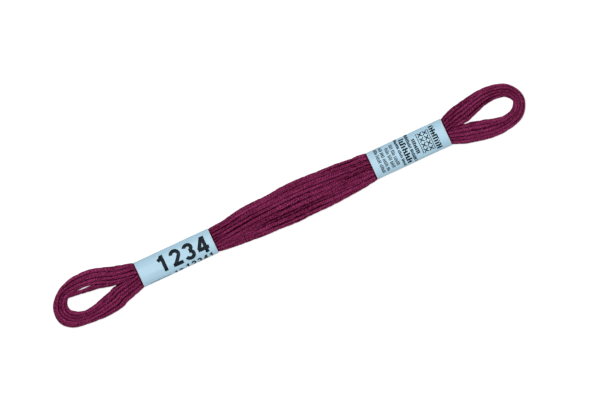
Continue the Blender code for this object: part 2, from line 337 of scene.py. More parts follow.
def half_bundle(half_height, width):
    """Half of a superellipse: over the top, round an edge, down the seam and back."""
    last_turn = math.acos((EDGE_ROUND / width) ** (BUNDLE_POWER / 2))
    turn = np.linspace(0, last_turn, OUTLINE_POINTS)
    top = power_curve(turn, width, half_height, BUNDLE_POWER)
    edge_turn = np.linspace(0, math.pi / 2, EDGE_POINTS)[1:]
    edge = np.stack([1 - np.sin(edge_turn), np.cos(edge_turn)], axis=1) * EDGE_ROUND
    edge += (0.0, top[-1, 1] - EDGE_ROUND)
    upper = np.vstack([top, edge])
    outline = np.vstack([upper, (upper[::-1] * (1, -1))[:-1]])
    return outline - (width / 2, 0)


def arm_outline(station, give=0.0):
    """(outwards, up) round the arm, from its outermost point over the top.

    Its inner half is stretched until it reaches give beyond the seam."""
    width, height, lift, pressed = station[2:6]
    half_height = (height + SETTLE) / 2
    shares = np.arange(OUTLINE_POINTS) / OUTLINE_POINTS
    turn = np.linspace(0, 2 * math.pi, 4 * OUTLINE_POINTS, endpoint=False)
    free = even_points(power_curve(turn, width / 2, half_height, LOOP_POWER), shares)
    bundle = even_points(half_bundle(half_height, width), shares)
    bundle[:, 0] += give * np.minimum(bundle[:, 0], 0) / (width / 2)
    points = (1 - pressed) * free + pressed * bundle
    points[:, 1] = np.maximum(points[:, 1] + lift + height - half_height, lift)
    return points


areas = outline_area(np.array([arm_outline(station) for station in stations]))
outlines = np.array([arm_outline(station, SEAM_GIVE) for station in stations])
walls = outward_normals(outlines)
print("arm sections, mm2:", areas.min().round(1), "to", areas.max().round(1))

# %% [markdown]
# ## Packing the turns
# Twenty-three turns have to share every section without passing through each other. They
# could be dropped in at random, but a real winding has an order. So they start in three
# rings inside the section, in the order in which they are wound.

# %% Slots of the turns
RING_SLOTS = (12, 8, 3)  # turns in the outer, the middle and the inner ring
RING_RADII = (0.80, 0.47, 0.17)  # as shares of the way to the outline
FILL = 0.80  # share of a section that round passes fill
SWIRL = 0.32  # radians, how far the turns swing round the arm
SWIRL_WAVES = 2

coarse = np.arange(0, FINE_STATIONS, COARSE_EVERY)
coarse_outlines, coarse_walls = outlines[coarse], walls[coarse]
centres = coarse_outlines.mean(axis=1)
spacing = np.sqrt(FILL * areas[coarse] * 4 / (math.pi * TURNS))
coarse_distance = distance[coarse]


def slot_places():
    """(radius share, angle) of each turn's slot, ring by ring."""
    places = []
    for count, radius in zip(RING_SLOTS, RING_RADII):
        turns = 2 * math.pi * (np.arange(count) + 0.5) / count
        places += [(radius, angle) for angle in turns]
    return np.array(places)


def home_places():
    """Where each turn would lie at each station, before any turn pushes another."""
    radius, angle = slot_places().T
    swing = SWIRL * np.sin(2 * math.pi * SWIRL_WAVES * coarse_distance / ring_length)
    turn = np.mod(angle[:, None] + swing, 2 * math.pi)
    from_centre = coarse_outlines - centres[:, None]
    bearing = np.mod(np.arctan2(from_centre[..., 1], from_centre[..., 0]), 2 * math.pi)
    reach = np.linalg.norm(from_centre, axis=-1)
    homes = np.empty((TURNS, len(coarse), 2))
    for i in range(len(coarse)):
        order = np.argsort(bearing[i])
        limit = np.interp(turn[:, i], bearing[i][order], reach[i][order], period=2 * math.pi)
        out = radius * limit
        homes[:, i, 0] = centres[i, 0] + out * np.cos(turn[:, i])
        homes[:, i, 1] = centres[i, 1] + out * np.sin(turn[:, i])
    return homes


homes = home_places()
print(len(coarse), "sections to pack, passes", spacing.mean().round(2), "mm apart")

# %% [markdown]
# So far every turn is a ring of its own. Near its ends it slides into its neighbour's slot,
# so that the whole hank is one thread, and it wanders slowly as loose thread does.

# %% One thread
WANDER = 0.55  # mm
WANDER_WAVELENGTHS = (95.0, 57.0, 36.0)
WANDER_SPREAD = (0.85, 1.15)  # how much a wavelength differs from turn to turn
HANDOVER = 0.055  # share of a turn over which it moves to the next turn's slot

rng = np.random.default_rng(23)


def hand_over(homes):
    """Near its ends a turn's home slides to the slot of the turn before or after it."""
    share_round = coarse_distance / ring_length
    leaving = np.clip((share_round - 1 + HANDOVER) / (2 * HANDOVER), 0, 0.5)
    arriving = np.clip((HANDOVER - share_round) / (2 * HANDOVER), 0, 0.5)
    after = np.vstack([homes[1:], homes[-1:]])
    before = np.vstack([homes[:1], homes[:-1]])
    mixed = homes + leaving[:, None] * (after - homes)
    return mixed + arriving[:, None] * (before - homes)


def wandering():
    """Slow waves along the whole thread, in both directions of the section."""
    along = (np.arange(TURNS)[:, None] * ring_length + coarse_distance)[..., None]
    total = np.zeros((TURNS, len(coarse), 2))
    for wavelength in WANDER_WAVELENGTHS:
        bend = rng.uniform(*WANDER_SPREAD, (TURNS, 1, 2))
        phase = rng.uniform(0, 2 * math.pi, (TURNS, 1, 2))
        total += np.sin(2 * math.pi * along * bend / wavelength + phase)
    return WANDER * total / len(WANDER_WAVELENGTHS)


homes = hand_over(homes) + wandering()
steps = np.linalg.norm(np.diff(homes.reshape(-1, 2), axis=0), axis=1)
print("from section to section a turn shifts by up to", steps.max().round(2), "mm")

# %% [markdown]
# A physics engine could press the turns together, but it is slow and its result is hard to
# repeat. Position based dynamics needs only a few whole-array pushes: turns that are too
# close push each other apart, also across the seam, the outline pushes them in, and each
# turn is pulled straight along its length.

# %% Pushes
PUSH = 0.42  # share of a missing distance that one push makes good
ELSEWHERE = 1e3  # keeps the search for a facing station on the other arm
SELF = 9.0 * np.eye(TURNS)[..., None]  # keeps a turn from pushing itself


def push_apart(places, least):
    """Each pair nearer than least moves apart by about half of what is missing."""
    gap = places[:, None] - places[None]
    length = np.linalg.norm(gap, axis=-1) + SELF
    missing = np.maximum(least - length, 0)
    return places + PUSH * np.sum(gap / length[..., None] * missing[..., None], axis=1)


def facing_stations(chosen):
    """For each chosen station, which of them lies beside it on the other arm.

    That is the nearest along x among those whose y has the other sign."""
    x, y = path[chosen].T
    far = np.abs(x[:, None] - x[None]) + ELSEWHERE * (y[:, None] * y[None] > 0)
    return far.argmin(axis=1)


facing = facing_stations(coarse)
pressed_there = np.clip(2 * stations[coarse, 5] - 1, 0, 1)  # 1 where the arms are together


def push_from_facing(places, least):
    """Passes of the two arms push each other too, both seen from the side of the seam.

    Across the seam a place is measured as path y + outwards y · its own first number."""
    across = path[coarse, 1] + outwards[coarse, 1] * places[..., 0]
    here = np.stack([across, places[..., 1]], axis=-1)
    gap = here[:, None] - here[:, facing][None]
    length = np.maximum(np.linalg.norm(gap, axis=-1), 1e-6)
    missing = np.maximum(least - length, 0) * pressed_there
    push = PUSH * np.sum(gap / length[..., None] * missing[..., None], axis=1)
    push[..., 0] *= np.sign(outwards[coarse, 1])
    return places + push


def push_inside(places, outline, wall, margin):
    """A point nearer than margin to an outline, or outside it, moves in along its normal."""
    room = np.einsum("kimc,imc->kim", outline[None] - places[:, :, None], wall)
    nearest = room.argmin(axis=-1)
    short = np.maximum(margin - np.take_along_axis(room, nearest[..., None], -1)[..., 0], 0)
    station = np.arange(places.shape[1])
    return places - short[..., None] * wall[station, nearest]


def straighten(places, share):
    """Each point moves towards the middle of its neighbours along the thread."""
    chain = places.reshape(-1, 2)
    chain[1:-1] += share * (0.5 * (chain[:-2] + chain[2:]) - chain[1:-1])
    return chain.reshape(places.shape)


print("seam sections:", int((pressed_there == 1).sum()), "of", len(coarse))

# %% [markdown]
# All the sections relax at once. One pass has come loose inside the left loop, so from
# half way on a thin wall is held open beside it there: every turn stays on the side of
# the wall where it happens to lie.

# %% Relax the packing
ROUNDS = 420
PUSHES_A_ROUND = 2
HOME_PULL = 0.03
STRAIGHTENING = 0.5
SLIT_AT = (-74.65, 5.4)  # on the upper arm, by the left loop
SLIT_OFFSET = -1.80  # from the middle of the arm, towards the hole
SLIT_HALF_GAP = 0.18
SLIT_LENGTH = 3.1
SLIT_PUSH = 0.5
SLIT_LEAST = 0.05  # a section takes part where the slit is open by this share


def slit_share(chosen):
    """How far the slit is open at stations: exp(-(distance to its middle / length)²)."""
    return np.exp(-((np.hypot(*(path[chosen] - SLIT_AT).T) / SLIT_LENGTH) ** 2))


def clear_of_slit(places, side, share, radius, least_share):
    """How far each place has to move across its section to leave the slit open.

    It is share · (radius + half the gap) - the distance from the slit's middle, on its
    own side, where that is more than 0 and the slit is open by the least share."""
    clear = share * (radius + SLIT_HALF_GAP)
    short = np.maximum(clear - side[:, None] * (places[..., 0] - SLIT_OFFSET), 0)
    return side[:, None] * short * (share > least_share)


slit_open = slit_share(coarse)
places = homes.copy()
for step in range(ROUNDS):
    places += HOME_PULL * (homes - places)
    places = straighten(places, STRAIGHTENING)
    for _ in range(PUSHES_A_ROUND):
        places = push_apart(places, spacing)
        places = push_from_facing(places, spacing)
        places = push_inside(places, coarse_outlines, coarse_walls, spacing / 2)
    if step == ROUNDS // 2:
        side = np.sign(places[:, slit_open.argmax(), 0] - SLIT_OFFSET)
    if step > ROUNDS // 2:
        push = clear_of_slit(places, side, slit_open, spacing / 2, SLIT_LEAST)
        places[..., 0] += SLIT_PUSH * push
closest = np.linalg.norm(places[:, None] - places[None], axis=-1) + SELF
print("turns beside the slit:", int((side < 0).sum()))
print("nearest neighbours, as shares of the spacing:", (closest.min(1) / spacing).mean().round(2))

# %% [markdown]
# ## Six strands in every pass
# The floss isn't one cord: six strands lie side by side, twisted a little, and spread to
# fill the room that they have. So each pass first gets a radius, about half of the way to
# its nearest neighbours. The packing was worked out at every third station, so its values
# are read in between and smoothed along the whole thread.

# %% Along the whole thread
NEIGHBOURS = 3
PASS_SHARE = 0.475  # a pass's radius, as a share of the way to its nearest neighbours
WAY_LIMITS = (0.85, 1.25)  # that way is held between these shares of the spacing
SMOOTHING = np.array([1.0, 2.0, 3.0, 2.0, 1.0]) / 9


def smooth_along(values):
    """The thread's values averaged over five stations, end to end, (turns, stations, ...)."""
    chain = values.reshape(TURNS * FINE_STATIONS, -1)
    padded = np.vstack([chain[:1], chain[:1], chain, chain[-1:], chain[-1:]])
    columns = [np.convolve(column, SMOOTHING, mode="valid") for column in padded.T]
    return np.stack(columns, axis=1).reshape(values.shape)


def refine(values):
    """Coarse values read at every fine station along the whole thread, then smoothed."""
    coarse_index = (np.arange(TURNS)[:, None] * FINE_STATIONS + coarse).ravel()
    fine_index = np.arange(TURNS * FINE_STATIONS)
    flat = values.reshape(TURNS * len(coarse), -1)
    columns = [np.interp(fine_index, coarse_index, column) for column in flat.T]
    shape = (TURNS, FINE_STATIONS) + values.shape[2:]
    return smooth_along(np.stack(columns, axis=1).reshape(shape))


way_limits = [share * spacing for share in WAY_LIMITS]
nearest_few = np.sort(closest, axis=1)[:, :NEIGHBOURS].mean(axis=1)
pass_places = refine(places)
pass_radius = refine(PASS_SHARE * np.clip(nearest_few, *way_limits))
thread_along = np.arange(TURNS)[:, None] * ring_length + distance
print("a pass's radius is", pass_radius.mean().round(2), "mm on the average")

# %% [markdown]
# The strands circle the middle of their pass once in about 11 mm, with some unevenness.
# They are pushed back inside the outline, which flattens them under the paper and on the
# table as a real bundle flattens.

# %% Place the strands
STRAND_TWIST = 11.0  # mm of thread for one turn of its six strands
STRAND_SHARE = 0.39  # a strand's radius, as a share of its pass's
STRAND_WAVES = (31.0, 19.0, 47.0)  # mm: of the turning, the thickness and the circling
TURNING_SWING = 0.5  # radians
THICKNESS_SWING = 0.05  # share of the strand's radius
CIRCLING_SWING = 0.07  # share of the pass's radius
CIRCLING_REACH = 0.97  # how far a strand's outer side comes, as a share of the pass's radius
BEND_SPREAD = (0.8, 1.2)  # how much a wavelength differs from strand to strand
END_FADE = 10.0  # mm at each end of a turn over which the waves fade, so that turns meet
PLY_PITCH = 2.2  # mm of strand for one turn of its two plies
STRAND_SLIT_LEAST = 0.1

phase = rng.uniform(0, 2 * math.pi, (TURNS, STRANDS, 1, 3))
bend = rng.uniform(*BEND_SPREAD, (TURNS, STRANDS, 1, 3))
waves = np.sin(2 * math.pi * distance[:, None] * bend / STRAND_WAVES + phase)
fade = np.clip(np.minimum(distance, ring_length - distance) / END_FADE, 0, 1)
waves *= fade[:, None]
own_turn = np.arange(STRANDS)[:, None] / STRANDS
turning = 2 * math.pi * (own_turn + thread_along[:, None] / STRAND_TWIST)
turning += TURNING_SWING * waves[..., 0]
mark_along = thread_along[:, None] + PLY_PITCH * turning / (2 * math.pi)
mark_along = mark_along.reshape(-1, FINE_STATIONS)
strand_radius = pass_radius[:, None] * STRAND_SHARE * (1 + THICKNESS_SWING * waves[..., 1])
circling = CIRCLING_REACH - STRAND_SHARE + CIRCLING_SWING * waves[..., 2]
circling *= pass_radius[:, None]
offset = circling[..., None] * np.stack([np.cos(turning), np.sin(turning)], axis=-1)
strand_places = (pass_places[:, None] + offset).reshape(TURNS * STRANDS, FINE_STATIONS, 2)
strand_radius = strand_radius.reshape(TURNS * STRANDS, FINE_STATIONS)
for first in range(0, TURNS * STRANDS, STRANDS):
    group = slice(first, first + STRANDS)
    strand_places[group] = push_inside(strand_places[group], outlines, walls, strand_radius[group])

every = np.arange(FINE_STATIONS)
strand_places[..., 0] += clear_of_slit(
    strand_places, np.repeat(side, STRANDS), slit_share(every), strand_radius, STRAND_SLIT_LEAST
)
print("strand diameters, mm:", (2 * strand_radius.min()).round(2), "to",
      (2 * strand_radius.max()).round(2))

# %% [markdown]
# ## Painted shade between the passes
# Between two passes the floss is painted darker: painted shade, deeper than the shadow
# that the light alone casts there. A texture couldn't know where the passes lie, but the
# packing does. So the depth in a groove is worked out here for every point of every strand
# and kept as an attribute of the mesh, which the floss material reads to paint that shade.

# %% Painted shade in the grooves between the passes
TUBE_SIDES = 6
GROOVE_WIDTHS = (0.26, 0.9)  # shares of the pass's radius, where passes lie close and part
PARTING_WAVES = (83.0, 46.0, 27.0)  # mm
PARTING_GAIN, PARTING_START = 2.2, 0.6
PRESSED_LEAST = 0.6  # where the arms are pressed less, nothing lies beside a pass
FAR = 99.0  # mm, further than any pass


def slow_waves(count, wavelengths):
    """Sums of sines along one turn that fade at its ends, spread over 0 to 1."""
    own_phase = rng.uniform(0, 2 * math.pi, (count, 1, len(wavelengths)))
    own_bend = rng.uniform(*BEND_SPREAD, (count, 1, len(wavelengths)))
    total = np.sin(2 * math.pi * distance[:, None] * own_bend / wavelengths + own_phase).sum(-1)
    return 0.5 + 0.5 * fade * total / len(wavelengths)


def passes_beside():
    """The other arm's passes at each station, measured in this arm's own section."""
    beside = facing_stations(every)
    there = pass_places[:, beside]
    across = path[beside, 1] + outwards[beside, 1] * there[..., 0] - path[:, 1]
    there = np.stack([across * np.sign(outwards[:, 1]), there[..., 1]], axis=-1)
    there[:, stations[:, 5] < PRESSED_LEAST] += FAR
    return there


# How deep a point lies between two passes sets how much painted shade it gets.
def groove_depth():
    """How deep between two passes each point of each strand lies, from 0 to 1.

    1 - (distance to the nearest other pass - distance to its own pass) / (share of the
    pass's radius), held between 0 and 1, so a point midway between two passes is at 1.
    The share swings slowly along a pass, because passes part here and lie close there."""
    parted = np.clip(PARTING_GAIN * slow_waves(TURNS, PARTING_WAVES) - PARTING_START, 0, 1)
    narrow, wide = GROOVE_WIDTHS
    width = (narrow + parted * (wide - narrow)) * pass_radius
    side_turn = 2 * math.pi * np.arange(TUBE_SIDES) / TUBE_SIDES
    ring = np.stack([-np.cos(side_turn), np.sin(side_turn)], axis=-1)
    there = passes_beside()
    depths = []
    for turn in range(TURNS):
        group = slice(turn * STRANDS, (turn + 1) * STRANDS)
        points = strand_places[group, :, None] + strand_radius[group, :, None, None] * ring
        own = np.linalg.norm(points - pass_places[turn, :, None], axis=-1)
        others = np.concatenate([np.delete(pass_places, turn, axis=0), there])
        nearest = np.full(own.shape, FAR)
        for other in others:
            nearest = np.minimum(nearest, np.linalg.norm(points - other[:, None], axis=-1))
        depths.append(1 - np.clip((nearest - own) / width[turn, :, None], 0, 1))
    return np.concatenate(depths)


groove = groove_depth()
print("share of points in a groove:", (groove > 0.5).mean().round(2))

# %% [markdown]
# Along its length a pass is now lighter and now darker, slowly and at random, and so
# is each of its strands. That is a second attribute, half of it from the pass and half
# from the strand.

# %% Tone along the thread
PASS_TONE_WAVES = (64.0, 37.0, 21.0)  # mm
STRAND_TONE_WAVES = (29.0, 13.0, 8.0)

pass_tone = np.repeat(slow_waves(TURNS, PASS_TONE_WAVES), STRANDS, axis=0)
tone = (pass_tone + slow_waves(TURNS * STRANDS, STRAND_TONE_WAVES)) / 2
print("tone from", tone.min().round(2), "to", tone.max().round(2))

# %% [markdown]
# ## The seam leans
# The two arms aren't pressed flat against each other like the halves of a mould: their
# seam leans to one side and then the other, so from above its line wanders. It could be
# drawn into the outlines of the sections. Moving the finished lines is simpler, as long
# as the bundle keeps its outline.

# %% Lean the seam
SEAM_SWAY = 1.25  # how far the seam leans each way, mm
SEAM_WAVELENGTH = 88.0
SEAM_CROSSING = -24.0  # x where the lean passes through 0
SWAY_MIDDLE = -1.0
SWAY_REACH = 55.0  # each way from that middle
SWAY_FADE = 14.0


def sway_seam(lines):
    """Lean the seam to one side and then the other, keeping the bundle's outline.

    y moves by sway · wave(x) · (1 - (y / half width)²) · (height above the middle / half
    height), so that the outline and the middle of the bundle stay where they are."""
    x, y, z = np.moveaxis(lines, -1, 0)
    arm = table(ARM_COLUMNS, ARM_ROWS)
    local_x, local_y = x - SEAM_MIDDLE[0], y - SEAM_MIDDLE[1]
    below, above, height = (
        np.interp(local_x, arm["x"], arm[column]) for column in ("below", "above", "height")
    )
    reach = np.where(local_y > 0, above, below)
    inside = np.clip((SWAY_REACH - np.abs(local_x - SWAY_MIDDLE)) / SWAY_FADE, 0, 1)
    wave = np.sin(2 * math.pi * (local_x - SEAM_CROSSING) / SEAM_WAVELENGTH)
    wave = wave * inside * inside * (3 - 2 * inside)
    lean = np.clip(1 - (local_y / reach) ** 2, 0, 1) * np.clip(z / (height / 2) - 1, -1, 1)
    return np.stack([x, y + SEAM_SWAY * wave * lean, z], axis=-1)


def run_on(values):
    """Each turn's values with the first of the next turn added, so that the turns meet."""
    turns = values.reshape(TURNS, STRANDS, FINE_STATIONS, -1)
    after = np.concatenate([turns[1:, :, :1], turns[-1:, :, -1:]], axis=0)
    return np.concatenate([turns, after], axis=2).reshape(TURNS * STRANDS, FINE_STATIONS + 1, -1)


places_on = run_on(strand_places)
round_path = np.vstack([path, path[:1]]) + SEAM_MIDDLE
round_out = np.vstack([outwards, outwards[:1]])
level_places = round_path + places_on[..., :1] * round_out
lines = sway_seam(np.concatenate([level_places, places_on[..., 1:]], axis=-1))
radii = run_on(strand_radius)[..., 0]
marks = np.concatenate([mark_along, 2 * mark_along[:, -1:] - mark_along[:, -2:-1]], axis=1)
print(len(lines), "centre lines of", lines.shape[1], "points")

# %% [markdown]
# ## Skinning the strands
# A curve object with a bevel would do for one strand, but here are 138 lengths of it, and
# the fine twist in each strand has to follow its surface. So each strand is a tube worked
# out as one grid of points. Blender takes such a grid fastest as whole arrays.

# %% Meshes from arrays
def new_object(name, vertices, loops, sizes, uv_maps, material):
    """A mesh object from arrays: vertices in mm, corner indices, and corners a face."""
    mesh = bpy.data.meshes.new(name)
    mesh.vertices.add(len(vertices))
    mesh.vertices.foreach_set("co", (vertices * MM).astype(np.float32).ravel())
    mesh.loops.add(len(loops))
    mesh.loops.foreach_set("vertex_index", loops.astype(np.int32))
    mesh.polygons.add(len(sizes))
    starts = np.concatenate([[0], np.cumsum(sizes)[:-1]])
    mesh.polygons.foreach_set("loop_start", starts.astype(np.int32))
    mesh.update(calc_edges=True)
    for uv_name, values in uv_maps.items():
        layer = mesh.uv_layers.new(name=uv_name)
        layer.uv.foreach_set("vector", values.astype(np.float32).ravel())
    mesh.validate()
    mesh.shade_smooth()
    mesh.materials.append(material)
    obj = bpy.data.objects.new(name, mesh)
    scene.collection.objects.link(obj)
    return obj


print("meshes so far:", len(bpy.data.meshes))

# %% [markdown]
# The first UV map holds the millimetres along the strand and the turn round it, for the
# pattern of the plies. The second lays every strand out in its own rows, so that a baked
# picture of the surface wastes nothing.

# %% Faces of the tubes
BAKE_ROWS = 2  # rows of the bake layout that one turn of a strand takes
ROW_MARGIN = 0.1  # of a row's height, left free above and below
END_CORNER = 0.001  # the corner of the bake layout where all the ends go


def side_faces(along, first_strand):
    """Corner indices of the quads along every tube, and the two UV maps at the corners.

    A point's index is (tube · stations + station) · sides + side. The thread map is
    (mm along, strand + turn round it). The bake map cuts each tube into its rows: along
    the row, and (row + margin + turn round it in the room between) / rows."""
    tubes, count = along.shape
    t, i, j = np.meshgrid(range(tubes), range(count - 1), range(TUBE_SIDES), indexing="ij")
    corner = np.stack([i, i, i + 1, i + 1], axis=-1)
    turned = np.stack([j, j + 1, j + 1, j], axis=-1)
    index = (t[..., None] * count + corner) * TUBE_SIDES + turned % TUBE_SIDES
    tube = np.broadcast_to(t[..., None], corner.shape)
    thread = np.stack([along[tube, corner], first_strand + tube + turned / TUBE_SIDES], axis=-1)
    place = (along - along[:, :1]) / (along[:, -1:] - along[:, :1]) * BAKE_ROWS
    row = np.minimum(np.floor(place[tube[..., :1], corner[..., :1]]), BAKE_ROWS - 1)
    bake_u = np.clip(place[tube, corner] - row, 0, 1)
    bake_v = tube * BAKE_ROWS + row + ROW_MARGIN + (1 - 2 * ROW_MARGIN) * turned / TUBE_SIDES
    return index, thread, np.stack([bake_u, bake_v / (tubes * BAKE_ROWS)], axis=-1)


def end_faces(along, station, order):
    """The same for the one face that closes every tube at a station."""
    tubes, count = along.shape
    index = (np.arange(tubes)[:, None] * count + station) * TUBE_SIDES + order
    around = np.broadcast_to(order / TUBE_SIDES, index.shape)
    thread = np.stack([np.broadcast_to(along[:, [station]], index.shape), around], axis=-1)
    return index, thread, np.full(thread.shape, END_CORNER)


print("a turn of the thread takes", STRANDS * BAKE_ROWS, "rows")

# %% [markdown]
# A tube's points are its centre line plus a circle that stands square to it. Blender's own
# curves turn that circle as they like, so here one of its directions is kept level.

# %% Tubes from arrays
def frames_along(lines):
    """Two unit vectors square to each line: up × the line's direction, which is level,
    and the direction × that, which looks up."""
    direction = np.gradient(lines, axis=1)
    direction /= np.linalg.norm(direction, axis=-1, keepdims=True)
    level = np.cross((0.0, 0.0, 1.0), direction)
    level /= np.linalg.norm(level, axis=-1, keepdims=True)
    return level, np.cross(direction, level)


def tube_piece(name, lines, radii, along, first_strand, material):
    """Closed tubes round lines of the shape (tubes, stations, 3), as one object.

    A point of a tube is centre + radius·(cos a·level + sin a·rising)."""
    tubes, count = along.shape
    level, rising = frames_along(lines)
    turn = 2 * math.pi * np.arange(TUBE_SIDES) / TUBE_SIDES
    ring = np.cos(turn)[:, None] * level[:, :, None] + np.sin(turn)[:, None] * rising[:, :, None]
    skin = lines[:, :, None] + radii[:, :, None, None] * ring
    order = np.arange(TUBE_SIDES)
    faces = (
        side_faces(along, first_strand),
        end_faces(along, 0, order[::-1]),
        end_faces(along, count - 1, order),
    )
    loops = np.concatenate([index.ravel() for index, _, _ in faces])
    thread, bake = (np.concatenate([part[k].reshape(-1, 2) for part in faces]) for k in (1, 2))
    sizes = np.repeat((4, TUBE_SIDES), (tubes * (count - 1) * TUBE_SIDES, 2 * tubes))
    maps = {"Thread": thread, "OFBake": bake}
    return new_object(name, skin.reshape(-1, 3), loops, sizes, maps, material)


print("a tube of", TUBE_SIDES, "sides has", lines.shape[1] * TUBE_SIDES, "points")

# %% [markdown]
# ## Materials
# Cotton floss has a soft lustre: it is mercerised, so each strand has a dull highlight
# and a faint bloom at its edges. Each strand is two plies twisted together once in about
# 2.2 mm, which shows as slanting dimples. Modelling those would take millions of faces,
# so a node group draws them from the strand's own UV map: the height is the absolute
# value of a sine that runs round and along the strand together. The floss material bumps
# the strand by that height and paints shade into the grooves between the plies.

# %% Node helpers
def new_material(name, base, roughness, **sockets):
    """A Principled material with its plain values set on the shader's own sockets."""
    material = bpy.data.materials.new(name)
    material.use_nodes = True
    shader = material.node_tree.nodes["Principled BSDF"]
    shader.inputs["Base Color"].default_value = (*base, 1.0)
    shader.inputs["Roughness"].default_value = roughness
    for socket, value in sockets.items():
        shader.inputs[socket.replace("_", " ")].default_value = value
    return material, material.node_tree, shader


def feed(tree, sockets, values):
    """Give each socket its value: a number, a colour of three numbers, or another socket."""
    for socket, value in zip(sockets, values):
        if isinstance(value, (int, float)):
            socket.default_value = value
        elif isinstance(value, tuple):
            socket.default_value = (*value, 1.0)
        else:
            tree.links.new(value, socket)


def maths(tree, operation, *operands):
    """One Math node. Each operand is a socket or a number."""
    node = tree.nodes.new("ShaderNodeMath")
    node.operation = operation
    feed(tree, node.inputs, operands)
    return node.outputs[0]


def remap(tree, value, low, high, to_low, to_high):
    """A clamped Map Range from low..high to to_low..to_high."""
    node = tree.nodes.new("ShaderNodeMapRange")
    labels = ("Value", "From Min", "From Max", "To Min", "To Max")
    feed(tree, [node.inputs[label] for label in labels], (value, low, high, to_low, to_high))
    return node.outputs["Result"]


def mix_colours(tree, factor, first, second):
    """One Mix node for colours. Each colour is a socket or three numbers."""
    node = tree.nodes.new("ShaderNodeMix")
    node.data_type = "RGBA"
    feed(tree, [node.inputs[i] for i in (0, 6, 7)], (factor, first, second))
    return node.outputs[2]


print("node helpers:", ", ".join(helper.__name__ for helper in (maths, remap, mix_colours)))

# %% [markdown]
# A pattern needs a place to read. On thread and paper that is a UV map in millimetres, so
# it bends with them. Elsewhere the place on the object will do.

# %% Patterns and places
def noise(tree, place, scale, detail=2.0, roughness=0.5):
    """A Noise texture at a place, as one number."""
    node = tree.nodes.new("ShaderNodeTexNoise")
    labels = ("Vector", "Scale", "Detail", "Roughness")
    feed(tree, [node.inputs[label] for label in labels], (place, scale, detail, roughness))
    return node.outputs[0]


def bump(tree, shader, height, strength, depth):
    """Bump the shader's normal by a height, at most the depth in mm."""
    node = tree.nodes.new("ShaderNodeBump")
    labels = ("Height", "Strength", "Distance")
    feed(tree, [node.inputs[label] for label in labels], (height, strength, depth * MM))
    tree.links.new(node.outputs[0], shader.inputs["Normal"])


def split_place(tree, place):
    """The first and the second number of a place."""
    split = tree.nodes.new("ShaderNodeSeparateXYZ")
    tree.links.new(place, split.inputs[0])
    return split.outputs[0], split.outputs[1]


def uv_place(tree, name):
    """Where a point lies in one of the mesh's UV maps."""
    node = tree.nodes.new("ShaderNodeUVMap")
    node.uv_map = name
    return node.outputs[0]


def object_place(tree):
    """Where a point lies on its object, in metres."""
    return tree.nodes.new("ShaderNodeTexCoord").outputs["Object"]


print("patterns:", ", ".join(helper.__name__ for helper in (noise, bump)))

# %% [markdown]
# An effect that a material needs as a whole goes into a node group with plain numbers in
# and out. The first one twists the plies.

# %% Twisted plies
UNEVENNESS = 0.3  # how far the plies run ahead or behind, in turns
DRIFT_ALONG = 0.11  # how fast that changes along a strand, per mm
DRIFT_STEP = 7.3  # and how far apart two strands read it
GROOVE_POWER = 0.9
GLINT_LENGTH = 0.9  # mm along a strand, of the specks where fibres catch the light
GLINT_ROUND = 3.3  # specks round a strand


def new_group(name, inputs, outputs):
    """An empty node group of numbers: inputs with their defaults, and outputs."""
    group = bpy.data.node_groups.new(name, "ShaderNodeTree")
    for label, default in inputs.items():
        item = group.interface.new_socket(
            name=label, in_out="INPUT", socket_type="NodeSocketFloat"
        )
        item.default_value = default
    for label in outputs:
        group.interface.new_socket(name=label, in_out="OUTPUT", socket_type="NodeSocketFloat")
    return group, group.nodes.new("NodeGroupInput"), group.nodes.new("NodeGroupOutput")


def pair_place(tree, first, second):
    """A place from two numbers."""
    node = tree.nodes.new("ShaderNodeCombineXYZ")
    feed(tree, node.inputs, (first, second))
    return node.outputs[0]


def make_ply_group():
    """Height of two plies twisted together, how deep in their groove a point is, and specks.

    phase = turn round the strand + millimetres along it / pitch; height = |sin 2·pi·phase|
    to a power just under 1, so that the groove is narrow."""
    inputs = {"Pitch": PLY_PITCH, "Unevenness": UNEVENNESS}
    group, given, made = new_group("twisted_plies", inputs, ("Height", "Groove", "Glint"))
    along, around = split_place(group, uv_place(group, "Thread"))
    drift_along = maths(group, "MULTIPLY", along, DRIFT_ALONG)
    drift_across = maths(group, "MULTIPLY", maths(group, "FLOOR", around), DRIFT_STEP)
    drift = noise(group, pair_place(group, drift_along, drift_across), 1.0, 3.0)
    wobble = maths(group, "MULTIPLY", drift, given.outputs["Unevenness"])
    twist = maths(group, "DIVIDE", along, given.outputs["Pitch"])
    phase = maths(group, "ADD", maths(group, "ADD", around, twist), wobble)
    wave = maths(group, "SINE", maths(group, "MULTIPLY", phase, 2 * math.pi))
    height = maths(group, "POWER", maths(group, "ABSOLUTE", wave), GROOVE_POWER)
    # Painted glints: specks lighter where fibres catch the light, deeper between them.
    glint_along = maths(group, "DIVIDE", along, GLINT_LENGTH)
    glint_across = maths(group, "MULTIPLY", around, GLINT_ROUND)
    glint = noise(group, pair_place(group, glint_along, glint_across), 1.0)
    for socket, value in zip(made.inputs, (height, maths(group, "SUBTRACT", 1.0, height), glint)):
        group.links.new(value, socket)
    return group


ply_group = make_ply_group()
print(ply_group.name, "is a group of", len(ply_group.nodes), "nodes")

# %% [markdown]
# The second group paints shade on the floss beside each paper: a dark line along each
# band's edge, where the paper shades the floss that dips under it.

# %% Painted shade beside the bands
BAND_SHADE_REACH = 0.6  # mm either side of a band's edge where the floss gets painted shade
BAND_SHADE_FULL = 0.25  # share of that reach where it is fully dark


